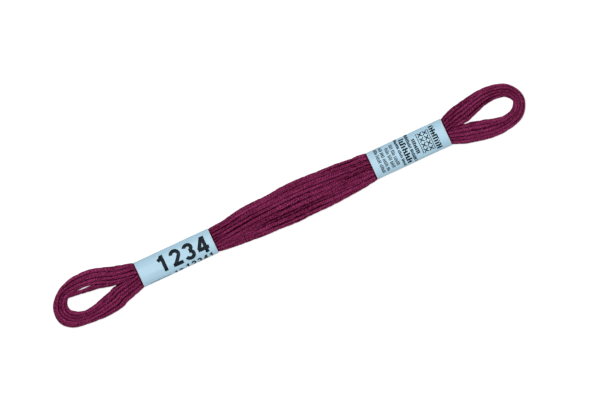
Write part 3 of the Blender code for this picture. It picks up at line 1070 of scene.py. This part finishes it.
def make_band_shade_group():
    """1 at the edge of a band and 0 past the reach, by the distance along X to the edge."""
    group, _, made = new_group("painted_band_shade", {}, ("BandShade",))
    x, _ = split_place(group, object_place(group))
    nearest = None
    for node in ("number_band", "label_band"):
        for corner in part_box(node):
            away = maths(group, "ABSOLUTE", maths(group, "SUBTRACT", x, float(corner[0])))
            nearest = away if nearest is None else maths(group, "MINIMUM", nearest, away)
    band_shade = remap(group, nearest, BAND_SHADE_FULL * BAND_SHADE_REACH * MM, BAND_SHADE_REACH * MM, 1.0, 0.0)
    group.links.new(band_shade, made.inputs["BandShade"])
    return group


band_shade_group = make_band_shade_group()
print(band_shade_group.name, "is a group of", len(band_shade_group.nodes), "nodes")

# %% [markdown]
# One base colour would look like plastic. So the lit colour goes over into a deep one
# with the strand's slow tone and the specks of painted glint, and into the deep one again as
# painted shade in the grooves of the plies. A darker colour is painted shade between the
# passes and beside the papers.

# %% Floss
# The lit colour is a strand where light falls on it. The deep colour is the dark end of the random
# tone and the painted shade of the ply grooves. The third is painted shade between the passes and
# beside the bands.
FLOSS_LIT = (0.374, 0.0475, 0.1645)
FLOSS_DEEP = (0.055, 0.0, 0.0120)
FLOSS_PAINTED_SHADE = (0.026, 0.0, 0.0065)
TONE_RANGE = (0.25, 0.75, 0.0, 0.43)  # low, high, and what they are mapped to
GLINT_RANGE = (0.40, 0.62, 0.0, 0.50)
PASS_GROOVE_SHADE_RANGE = (0.05, 0.50, 0.0, 1.0)
ROUGHNESS_RANGE = (0.0, 1.0, 0.55, 0.80)
PLY_GROOVE_SHADE = 0.95  # how dark a groove between two plies gets
PLY_BUMP = (0.8, 0.1)  # strength, and depth in mm


def placed(tree, group):
    """The outputs of a node group placed in a material."""
    node = tree.nodes.new("ShaderNodeGroup")
    node.node_tree = group
    return node.outputs


def attribute(tree, name):
    """A number that the mesh carries at each of its points."""
    node = tree.nodes.new("ShaderNodeAttribute")
    node.attribute_name = name
    return node.outputs["Fac"]


def make_floss():
    """Plum cotton: deep in the ply grooves, and slowly lighter and darker along a strand."""
    material, tree, shader = new_material(
        "floss", FLOSS_LIT, 0.62, Specular_IOR_Level=0.01, Sheen_Weight=0.01, Sheen_Roughness=0.4,
        Sheen_Tint=(1.0, 0.30, 0.60, 1.0),
    )
    plies = placed(tree, ply_group)
    drift = remap(tree, attribute(tree, "Tone"), *TONE_RANGE)
    # The specks are painted glints and shade, lighter where fibres catch the light.
    glint_speck = remap(tree, plies["Glint"], *GLINT_RANGE)
    shade = mix_colours(tree, maths(tree, "ADD", drift, glint_speck), FLOSS_LIT, FLOSS_DEEP)
    # Painted shade in the grooves between the plies, towards the deep colour.
    ply_groove_shade = maths(tree, "MULTIPLY", plies["Groove"], PLY_GROOVE_SHADE)
    shade = mix_colours(tree, ply_groove_shade, shade, FLOSS_DEEP)
    # Painted shade between the passes, darkest midway between two of them.
    pass_groove_shade = remap(tree, attribute(tree, "Groove"), *PASS_GROOVE_SHADE_RANGE)
    shade = mix_colours(tree, pass_groove_shade, shade, FLOSS_PAINTED_SHADE)
    # Painted shade on the floss along each band's edge.
    shade = mix_colours(tree, placed(tree, band_shade_group)["BandShade"], shade, FLOSS_PAINTED_SHADE)
    tree.links.new(shade, shader.inputs["Base Color"])
    roughness = remap(tree, plies["Groove"], *ROUGHNESS_RANGE)
    tree.links.new(roughness, shader.inputs["Roughness"])
    bump(tree, shader, plies["Height"], *PLY_BUMP)
    return material


floss = make_floss()
print(floss.name, "material,", len(floss.node_tree.nodes), "nodes")

# %% [markdown]
# The whole hank could be one mesh. Three pieces, each of seven or eight turns, keep any
# one mesh and its bake layout small.

# %% Wind the floss
TURNS_A_PIECE = (8, 8, 7)

shades = {"Groove": run_on(groove), "Tone": np.repeat(run_on(tone), TUBE_SIDES, axis=-1)}
first = 0
for letter, turns in zip("abc", TURNS_A_PIECE):
    chosen = slice(first, first + turns * STRANDS)
    name = f"floss_turns_{letter}"
    piece = tube_piece(name, lines[chosen], radii[chosen], marks[chosen], first, floss)
    for shade, values in shades.items():
        layer = piece.data.attributes.new(shade, "FLOAT", "POINT")
        layer.data.foreach_set("value", values[chosen].astype(np.float32).ravel())
    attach(piece, "root")
    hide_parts("hank")
    first = chosen.stop
    print(piece.name, 2 * len(piece.data.polygons), "triangles or so")

# %% [markdown]
# ## The paper bands
# Each band is a strip of paper, printed pale blue on one side, wrapped once round the
# bundle and glued where it overlaps. The bundle gives a strip its outline, a superellipse
# that is cut flat where it rests, and the frame says where along the skein it lies.

# %% Band outlines
BAND_COLUMNS = ("name", "node", "y", "width", "height")
BAND_ROWS = (
    ("number", "number_band", -0.1, 8.98, 6.25),
    ("label", "label_band", 0.10, 9.74, 6.45),
)
ROUND_POINTS = 1440


def band_shape(row):
    """The band's x limits from the frame, and its outline with normals, evenly spaced."""
    band = dict(zip(BAND_COLUMNS, row))
    low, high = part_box(band["node"])
    half_height = (band["height"] + SETTLE) / 2
    turn = np.linspace(0, 2 * math.pi, 4 * ROUND_POINTS, endpoint=False)
    shares = np.arange(ROUND_POINTS) / ROUND_POINTS
    outline = even_points(power_curve(turn, band["width"] / 2, half_height, BUNDLE_POWER), shares)
    outline[:, 1] = np.maximum(outline[:, 1] + band["height"] - half_height, 0.0)
    outline = even_points(outline, shares)
    band["x"] = (low[0] / MM, high[0] / MM)
    band["normals"] = outward_normals(outline)
    band["outline"] = outline + (band["y"] + SEAM_MIDDLE[1], 0.0)
    closed = np.vstack([outline, outline[:1]])
    band["perimeter"] = np.hypot(*np.diff(closed, axis=0).T).sum()
    return band


bands = {row[0]: band_shape(row) for row in BAND_ROWS}
for name, band in bands.items():
    print(name, "band from", round(band["x"][0], 2), "to", round(band["x"][1], 2), "mm along X")

# %% [markdown]
# A tube would have no overlap, so the strip is a spiral: one parameter runs along the skein
# and the other round the bundle, a little more than once. The strip rises by the paper's
# thickness before it passes over its own start. The floss pushes soft dents into it, and
# its cut edges spring open a hair.

# %% Surface of a strip
FLAP_SHARES = (0.60, 0.70)  # the free edge and the buried edge, round from the +Y side
FLAP_RISE = 0.15
RISE_SPAN = 0.035  # share of the way round over which the strip climbs
CREASE = 0.035  # mm, of the soft dents
# The dents' waves: times round the strip, radians along it, start, and share.
DENT_WAVES = ((7, 2.0, 0.0, 1.0), (11, -5.0, 1.0, 1.0), (3, 9.0, 2.0, 0.7))
SPRING = 0.05  # mm by which the mouths stand out
SPRING_STEEPNESS = 30  # how fast that fades along the band


def strip_rise(share):
    """How far the strip stands off the outline at a share of the way round, unwrapped.

    It runs from the buried edge down through 0.5 and 0, and ends past it, on the flap."""
    climb_start = FLAP_SHARES[1] - 1 + RISE_SPAN
    climb = np.clip((climb_start - share) / RISE_SPAN, 0, 1)
    return FLAP_RISE * climb**2 * (3 - 2 * climb)


def band_points(band, x, share, lift):
    """Points of the paper's outer face: outline + normal·(rise + soft dents + lift).

    The dents are three crossed sines, none of them along the underside, and the mouths
    of the band stand out a hair where the cut edge springs."""
    index = np.mod(share, 1.0) * ROUND_POINTS
    columns = np.arange(ROUND_POINTS + 1)
    at = [np.interp(index, columns, np.append(c, c[0])) for c in band["outline"].T]
    normal = [np.interp(index, columns, np.append(c, c[0])) for c in band["normals"].T]
    place = (x - band["x"][0]) / (band["x"][1] - band["x"][0])
    around = 2 * math.pi * share
    dents = sum(
        size * np.sin(times * around + along * place + start)
        for times, along, start, size in DENT_WAVES
    )
    dents = CREASE * dents * 4 * place * (1 - place)
    off_floor = np.clip(at[1], 0, 1)
    mouths = np.exp(-place * SPRING_STEEPNESS) + np.exp(-(1 - place) * SPRING_STEEPNESS)
    out = strip_rise(share) + off_floor * (dents + SPRING * mouths) + lift
    z = np.maximum(at[1] + normal[1] * out, 0.0)
    return np.stack([x, at[0] + normal[0] * out, z], axis=-1)


around = np.linspace(FLAP_SHARES[1], FLAP_SHARES[0] - 1, ROUND_POINTS)
sample = band_points(bands["label"], np.full(ROUND_POINTS, bands["label"]["x"][0]), around, 0.0)
print("the label strip stands", sample[:, 2].max().round(2), "mm high at its mouth")

# %% [markdown]
# Uncoated paper isn't one even blue: fibres mottle it, dye clouds it, and the pale core
# shows as a line where it was cut. The strip's own UV map is in millimetres, so the same
# material fits both bands.

# %% Paper
PAPER_BLUE = (0.345, 0.535, 0.650)
PAPER_CLOUD = (0.33, 0.53, 0.68)
PAPER_WHITE = (0.62, 0.68, 0.72)
PAPER_FUZZ = (0.62, 0.72, 0.78)
FIBRES = (2.2, 6.0, 0.7)  # a noise's scale, detail and roughness
CLOUDS = (0.22, 2.0)
FUZZ = (2500.0,)
MOTTLE_RANGE = (0.35, 0.65, 0.0, 0.10)
CLOUD_RANGE = (0.4, 0.7, 0.0, 0.35)
EDGE_RANGE = (0.10, 0.34, 0.75, 0.0)  # by the mm from a cut edge
PAPER_BUMP = (0.25, 0.03)


def make_paper(band_length):
    """Uncoated pale blue paper: faint fibre mottle, and a paler line at each cut edge."""
    material, tree, shader = new_material("paper", PAPER_BLUE, 0.55, Specular_IOR_Level=0.4)
    place = uv_place(tree, "Strip")
    fibres, clouds = (noise(tree, place, *settings) for settings in (FIBRES, CLOUDS))
    shade = mix_colours(tree, remap(tree, fibres, *MOTTLE_RANGE), PAPER_BLUE, PAPER_WHITE)
    shade = mix_colours(tree, remap(tree, clouds, *CLOUD_RANGE), shade, PAPER_CLOUD)
    along, _ = split_place(tree, place)
    from_end = maths(tree, "MINIMUM", along, maths(tree, "SUBTRACT", band_length, along))
    shade = mix_colours(tree, remap(tree, from_end, *EDGE_RANGE), shade, PAPER_WHITE)
    tree.links.new(shade, shader.inputs["Base Color"])
    bump(tree, shader, fibres, *PAPER_BUMP)
    return material


def make_cut_edge():
    """The white core of the paper, rough where it was cut."""
    material, tree, shader = new_material("paper_cut_edge", PAPER_WHITE, 0.8)
    fuzz = noise(tree, object_place(tree), *FUZZ)
    shade = mix_colours(tree, fuzz, PAPER_WHITE, PAPER_FUZZ)
    tree.links.new(shade, shader.inputs["Base Color"])
    return material


band_length = float(bands["label"]["x"][1] - bands["label"]["x"][0])
paper = make_paper(band_length)
cut_edge = make_cut_edge()
print(paper.name, "and", cut_edge.name, "for strips", round(band_length, 2), "mm wide")

# %% [markdown]
# The grid of a strip starts at the buried edge, goes once round and ends on the flap. The
# paper's thickness could be a second grid, but a Solidify modifier gives it as well, and
# it also gives the cut edges the white of the paper's core.

# %% Wrap the strips
PAPER_THICKNESS = 0.12
LENGTH_STEPS = 56
ROUND_STEPS = 300


def grid_loops(rows_count, columns_count):
    """Corner indices of the quads of an open grid, row by row."""
    i, j = np.meshgrid(np.arange(rows_count - 1), np.arange(columns_count - 1), indexing="ij")
    first = i * columns_count + j
    return np.stack([first, first + columns_count, first + columns_count + 1, first + 1], axis=-1)


def wrap_strip(band):
    """The outer face as a grid over (x, share round), then thickened inwards."""
    start, end = FLAP_SHARES[1], FLAP_SHARES[0] - 1
    xs = np.linspace(*band["x"], LENGTH_STEPS)
    shares = np.linspace(start, end, ROUND_STEPS)
    x, share = np.meshgrid(xs, shares, indexing="ij")
    points = band_points(band, x, share, 0.0)
    loops = grid_loops(LENGTH_STEPS, ROUND_STEPS).reshape(-1)
    uv = np.stack([x - band["x"][0], share * band["perimeter"]], axis=-1).reshape(-1, 2)
    obj = new_object(f"{band['name']}_strip", points.reshape(-1, 3), loops,
                     np.full(len(loops) // 4, 4), {"Strip": uv[loops]}, paper)
    obj.data.materials.append(cut_edge)
    wall = obj.modifiers.new("paper_thickness", "SOLIDIFY")
    wall.thickness = PAPER_THICKNESS * MM
    wall.offset = -1
    wall.material_offset_rim = 1
    wall.use_rim = True
    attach(obj, "root")
    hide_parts(band["node"])
    return obj


for band in bands.values():
    strip = wrap_strip(band)
    print(strip.name, len(strip.data.polygons), "faces,", round(band["perimeter"], 1), "mm round")

# %% [markdown]
# ## The printing
# The strips are printed before they are wrapped, so the ink has to bend with the paper.
# An image texture would be the usual way, but ink cut as thin shapes stays sharp at any
# distance. Each mark is drawn flat, as millimetres along the skein and round it, cut into
# narrow slices, and then carried onto the paper by the function that made the strip.

# %% Ink on the bands
INK = (0.0035, 0.0075, 0.0115)
INK_ROUGHNESS = 0.5
BLOTCHES = (1800.0, 3.0)
BLOTCH_RANGE = (0.45, 0.75, 0.0, 0.06)
INK_GAP = 0.012  # mm of air under the ink, so that it never lies in the paper's face
INK_THICKNESS = 0.018
SLICE = 0.3  # mm round the band, between two cuts
TOP_SHARE = 0.25  # the middle of the top, as a share of the way round from the +Y side


def make_ink():
    """Near black ink, a little thin in places where it sank into the paper."""
    material, tree, shader = new_material("ink", INK, INK_ROUGHNESS, Specular_IOR_Level=0.05)
    thin = remap(tree, noise(tree, object_place(tree), *BLOTCHES), *BLOTCH_RANGE)
    tree.links.new(mix_colours(tree, thin, INK, PAPER_BLUE), shader.inputs["Base Color"])
    return material


ink = make_ink()


def lay_ink(name, band, flat_mesh):
    """Carry a flat mesh, x along the skein and y up round it, onto the band."""
    worked = bmesh.new()
    worked.from_mesh(flat_mesh)
    ys = [vertex.co.y for vertex in worked.verts]
    for cut in np.arange(min(ys) + SLICE, max(ys), SLICE):
        everything = worked.verts[:] + worked.edges[:] + worked.faces[:]
        plane = {"plane_co": (0, cut, 0), "plane_no": (0, 1, 0)}
        bmesh.ops.bisect_plane(worked, geom=everything, dist=1e-6, **plane)
    bmesh.ops.triangulate(worked, faces=worked.faces[:])
    mesh = bpy.data.meshes.new(name)
    worked.to_mesh(mesh)
    worked.free()
    flat = np.empty(len(mesh.vertices) * 3, np.float32)
    mesh.vertices.foreach_get("co", flat)
    flat = flat.reshape(-1, 3).astype(float)
    share = TOP_SHARE - flat[:, 1] / band["perimeter"]
    points = band_points(band, flat[:, 0], share, INK_GAP + INK_THICKNESS)
    mesh.vertices.foreach_set("co", (points * MM).astype(np.float32).ravel())
    mesh.materials.append(ink)
    mesh.update()
    obj = bpy.data.objects.new(name, mesh)
    scene.collection.objects.link(obj)
    wall = obj.modifiers.new("ink_thickness", "SOLIDIFY")
    wall.thickness = INK_THICKNESS * MM
    wall.offset = -1
    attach(obj, "root")
    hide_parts(band["node"])
    return obj


print(ink.name, "stands", INK_GAP + INK_THICKNESS, "mm off the paper")

# %% [markdown]
# The number is a plain run of digits. Blender's own font could be used, but its strokes
# are thin, and an offset that fattens them clogs the corners. So each digit is a few pen
# strokes: a centre line of straight runs and arcs in a cell one unit high, with a flat
# ribbon of the pen's width carried along it.

# %% Pen strokes
PEN = 0.215  # the pen's width, as a share of the digit's height
ARC_POINTS = 26


def arc(centre, radii, start, end):
    """Points of an ellipse: centre + (a·cos t, b·sin t), with t in degrees."""
    t = np.radians(np.linspace(start, end, ARC_POINTS))
    return np.stack([centre[0] + radii[0] * np.cos(t), centre[1] + radii[1] * np.sin(t)], axis=1)


def ribbon(line, width):
    """The line's points moved half the width to each side, along the mitre at each point."""
    chords = np.diff(line, axis=0)
    chords /= np.linalg.norm(chords, axis=1, keepdims=True)
    before = np.vstack([chords[:1], chords])
    after = np.vstack([chords, chords[-1:]])
    middle = before + after
    middle /= np.linalg.norm(middle, axis=1, keepdims=True)
    aside = np.stack([-middle[:, 1], middle[:, 0]], axis=1)
    aside /= np.sum(middle * after, axis=1, keepdims=True)
    return line - aside * width / 2, line + aside * width / 2


half_pen = PEN / 2
STROKES = {
    "1": [
        np.array([(0.40, 0.0), (0.40, 1.0)]),
        np.array([(0.40, 0.93), (0.30, 0.80), (0.12, 0.72)]),
    ],
    "2": [
        np.vstack([
            arc((0.34, 0.68), (0.235, 0.2175), 172, -28),
            [(0.30, 0.26), (0.13, half_pen)],
        ]),
        np.array([(0.05, half_pen), (0.66, half_pen)]),
    ],
    "3": [
        arc((0.33, 0.715), (0.215, 0.1825), 165, -85),
        arc((0.33, 0.305), (0.235, 0.2025), 85, -165),
    ],
    "4": [
        np.array([(0.50, 0.0), (0.50, 1.0)]),
        np.array([(0.455, 0.97), (0.09, 0.33)]),
        np.array([(0.02, 0.30), (0.70, 0.30)]),
    ],
}
print({digit: len(strokes) for digit, strokes in STROKES.items()}, "strokes")

# %% [markdown]
# A run of digits is laid out by its first digit's place, a pitch and a lean. The large
# number and the two small runs share the same strokes.

# %% The number
DIGIT_CENTRE = (0.34, 0.5)  # of a digit's cell
RUN_COLUMNS = ("digits", "height", "pitch", "x", "y", "lean")
LARGE_RUN = ("1234", 5.9, 4.87, -46.95, 0.1, 0.0)
SMALL_RUNS = (
    ("12", 2.3, 1.87, -43.9, -5.42, 0.0),
    ("12341", 2.6, 2.18, -39.37, -4.87, 0.01),
)


def flat_mesh(name, vertices, faces):
    """A flat mesh from (x, y) points and faces, all facing up."""
    mesh = bpy.data.meshes.new(name)
    mesh.from_pydata([(x, y, 0.0) for x, y in vertices], [], faces)
    worked = bmesh.new()
    worked.from_mesh(mesh)
    worked.normal_update()
    bmesh.ops.reverse_faces(worked, faces=[face for face in worked.faces if face.normal.z < 0])
    worked.to_mesh(mesh)
    worked.free()
    return mesh


def number_marks(*runs):
    """Every stroke as a ribbon of quads, in its digit's place along the band.

    A digit stands at (x, y) + its place in the run · (pitch, pitch · lean)."""
    vertices, faces = [], []
    for row in runs:
        run = dict(zip(RUN_COLUMNS, row))
        step = run["pitch"] * np.array((1, run["lean"]))
        for i, digit in enumerate(run["digits"]):
            place = np.array((run["x"], run["y"])) + i * step
            for line in STROKES[digit]:
                first = len(vertices)
                pairs = np.stack(ribbon(line, PEN), axis=1).reshape(-1, 2)
                vertices += ((pairs - DIGIT_CENTRE) * run["height"] + place).tolist()
                for k in range(first, first + 2 * len(line) - 2, 2):
                    faces.append((k, k + 2, k + 3, k + 1))
    return flat_mesh("number_marks", vertices, faces)


number_ink = lay_ink("number_ink", bands["number"], number_marks(LARGE_RUN, *SMALL_RUNS))
print(number_ink.name, len(number_ink.data.polygons), "faces")

# %% [markdown]
# The small print is greeked: a printer's word for bars that stand for words. A row is a
# chain of stems with short joins, which reads as lettering from a step away and says
# nothing. The rows on the label band run round the bundle. A thin rule on the number band
# runs along its lower edge, in line with the small digits.

# %% Small print
# x, low end, high end, height, stem, pitch, how often stems join, longest word
LABEL_PRINT_ROWS = (
    (54.60, -4.4, 4.6, 1.95, 0.56, 0.90, 0.9, 20),
    (47.25, -2.5, 2.8, 1.25, 0.46, 0.68, 0.9, 20),
    (45.50, -6.4, 5.2, 1.10, 0.36, 0.50, 0.8, 14),
    (43.55, -4.5, 4.7, 2.00, 0.60, 0.94, 0.9, 20),
    (41.55, -6.2, 5.0, 0.98, 0.32, 0.48, 0.8, 12),
    (39.48, -4.2, 3.9, 1.20, 0.27, 0.48, 0.7, 8),
    (37.78, -3.6, 4.1, 1.22, 0.27, 0.48, 0.7, 8),
    (35.78, -5.0, 4.2, 1.18, 0.27, 0.48, 0.7, 7),
    (34.05, -5.2, 4.0, 1.20, 0.27, 0.48, 0.7, 7),
)
TALL_STEMS = 0.7  # how many stems have the row's full height
SHORT_STEM = 0.78  # of the row's height
WORD_GAP = 0.7  # of the pitch
JOIN_BAR = 0.6  # a join's thickness, as a share of the stem's
JOIN_LEAST = 0.14  # mm
JOIN_OVERLAP = 0.1  # of the stem, by which a join runs into it
MIDDLE_JOIN = -0.08  # of the height, for the joins that aren't at the foot or the top
SIDE_RULE = (-53.5, -45.8, -5.15, -4.95)


def quads_mesh(name, quads):
    """Separate flat faces, from an array of corners (faces, 4, 2)."""
    quads = np.asarray(quads)
    return flat_mesh(name, quads.reshape(-1, 2), np.arange(4 * len(quads)).reshape(-1, 4).tolist())


def box_corners(u0, u1, v0, v1):
    """The corners of the rectangle from (u0, v0) to (u1, v1)."""
    return [(u0, v0), (u1, v0), (u1, v1), (u0, v1)]


def greek_row(row):
    """Rectangles of one row that runs round the band: stems, joins and gaps between words."""
    x, low, high, height, stem, pitch, join, word = row
    boxes = []
    u = low
    left = int(rng.integers(word // 2, word + 1))
    while u + stem < high:
        tall = height * (1.0 if rng.random() < TALL_STEMS else SHORT_STEM)
        boxes.append((u, u + stem, -height / 2, tall - height / 2))
        left -= 1
        if left and rng.random() < join and u + pitch + stem < high:
            bar = max(JOIN_BAR * stem, JOIN_LEAST)
            base = rng.choice([-height / 2, MIDDLE_JOIN * height, height / 2 - bar])
            start, end = u + (1 - JOIN_OVERLAP) * stem, u + pitch + JOIN_OVERLAP * stem
            boxes.append((start, end, base, base + bar))
        u += pitch
        if not left:
            left = int(rng.integers(word // 2, word + 1))
            u += WORD_GAP * pitch
    return [[(x + v, -u) for u, v in box_corners(*box)] for box in boxes]


label_quads = sum((greek_row(row) for row in LABEL_PRINT_ROWS), [])
label_ink = lay_ink("label_ink", bands["label"], quads_mesh("label_marks", label_quads))
side_quads = [box_corners(*SIDE_RULE)]
side_ink = lay_ink("side_ink", bands["number"], quads_mesh("side_marks", side_quads))
print(label_ink.name, len(label_quads), "marks,", side_ink.name, len(side_quads))

# %% [markdown]
# Beside the rows goes a small ornament of counted crosses, the plainest motif of the
# craft: eight crosses between two rules. Two crossing bars would overlap, so each cross
# is one outline.

# %% Ornament
CROSS_X = 51.0
CROSS_SIZE = 1.5
CROSS_PITCH = 1.9
CROSS_BAR = 0.36
CROSS_ROWS = (-0.5, 0.5)
CROSS_COLUMNS = (-1.5, -0.5, 0.5, 1.5)
RULE_ROWS = (-1.2, 1.05)
RULE_WIDTH = 0.24
RULE_REACH = 3.75


def cross_marks():
    """Crosses and rules. A cross is one outline of twelve corners.

    Each arm has two corners at its tip and one where it meets the next arm: (r, -h),
    (r, h) and (h, h), for a reach r and half a width h. The arms are turned by 45
    degrees and every quarter turn after that."""
    reach, half = CROSS_SIZE / math.sqrt(2), CROSS_BAR / 2
    arm = np.array([(reach, -half), (reach, half), (half, half)])
    turn = math.pi / 4 + math.pi / 2 * np.arange(4)[:, None]
    x = np.cos(turn) * arm[:, 0] - np.sin(turn) * arm[:, 1]
    y = np.sin(turn) * arm[:, 0] + np.cos(turn) * arm[:, 1]
    cross = np.stack([x, y], axis=-1).reshape(-1, 2)
    outlines = []
    for row in CROSS_ROWS:
        for column in CROSS_COLUMNS:
            outlines.append(cross + (CROSS_X + row * CROSS_PITCH, column * CROSS_PITCH))
    for row in RULE_ROWS:
        x = CROSS_X + row * CROSS_PITCH
        outlines.append(box_corners(x, x + RULE_WIDTH, -RULE_REACH, RULE_REACH))
    faces, first = [], 0
    for outline in outlines:
        faces.append(list(range(first, first + len(outline))))
        first += len(outline)
    return flat_mesh("cross_marks", np.vstack(outlines), faces)


cross_ink = lay_ink("cross_ink", bands["label"], cross_marks())
print(cross_ink.name, len(cross_ink.data.polygons), "faces")

# %% [markdown]
# ## Table and light
# The skein lies on a plain white table. White paper under a lamp would show a wide grey
# shadow, so the table glows a little, as a light table does. That leaves it clean and
# keeps the shade between the passes.

# %% Table
FLOOR_SIZE = 4.0
FLOOR_GAP = 0.02 * MM
TABLE_GREY = (0.36, 0.36, 0.36)
TABLE_GLOW = 0.70
WHITE = (1.0, 1.0, 1.0, 1.0)


def make_floor():
    """A square table top, a hair under the skein, that glows a little."""
    half = FLOOR_SIZE / 2
    mesh = bpy.data.meshes.new("table_top")
    corners = [(-half, -half), (half, -half), (half, half), (-half, half)]
    mesh.from_pydata([(x, y, -FLOOR_GAP) for x, y in corners], [], [(0, 1, 2, 3)])
    material, _, _ = new_material(
        "table_white", TABLE_GREY, 0.9, Specular_IOR_Level=0.1,
        Emission_Color=WHITE, Emission_Strength=TABLE_GLOW,
    )
    mesh.materials.append(material)
    floor = bpy.data.objects.new("table_top", mesh)
    scene.collection.objects.link(floor)
    return floor


floor = make_floor()
print(floor.name, "is", FLOOR_SIZE, "m wide")

# %% [markdown]
# One large soft light from above and an even white surround stand for a light tent. The
# surround gives little light, but it looks as bright as the table, so a low view doesn't
# end at a grey edge.

# %% Light
LIGHT_SIZE = 0.4
LIGHT_POWER = 12.8
LIGHT_PLACE = (0.0, 0.09, 1.1)
SURROUND_LIGHT = 0.18  # how much light the surround gives
SURROUND_SEEN = 0.95  # how bright it looks past the table's edge


def soft_light(name, place):
    """A round lamp at a place, turned to shine on the origin."""
    data = bpy.data.lights.new(name, "AREA")
    data.shape = "DISK"
    data.size = LIGHT_SIZE
    data.energy = LIGHT_POWER
    light = bpy.data.objects.new(name, data)
    light.location = place
    direction = -np.array(place)
    yaw = math.atan2(direction[1], direction[0])
    tilt = math.atan2(math.hypot(*direction[:2]), -direction[2])
    light.rotation_euler = (0.0, -tilt, yaw + math.pi)
    scene.collection.objects.link(light)
    return light


def white_surround():
    """An even white world that lights the scene less than it shows."""
    world = bpy.data.worlds.new("white_surround")
    world.use_nodes = True
    tree = world.node_tree
    surround = tree.nodes["Background"]
    surround.inputs["Color"].default_value = WHITE
    seen = tree.nodes.new("ShaderNodeLightPath").outputs["Is Camera Ray"]
    strength = remap(tree, seen, 0.0, 1.0, SURROUND_LIGHT, SURROUND_SEEN)
    tree.links.new(strength, surround.inputs["Strength"])
    return world


light = soft_light("soft_light", LIGHT_PLACE)
scene.world = white_surround()
scene.view_settings.view_transform = "Standard"
print(light.name, "of", LIGHT_POWER, "W,", LIGHT_PLACE[2], "m above the table")
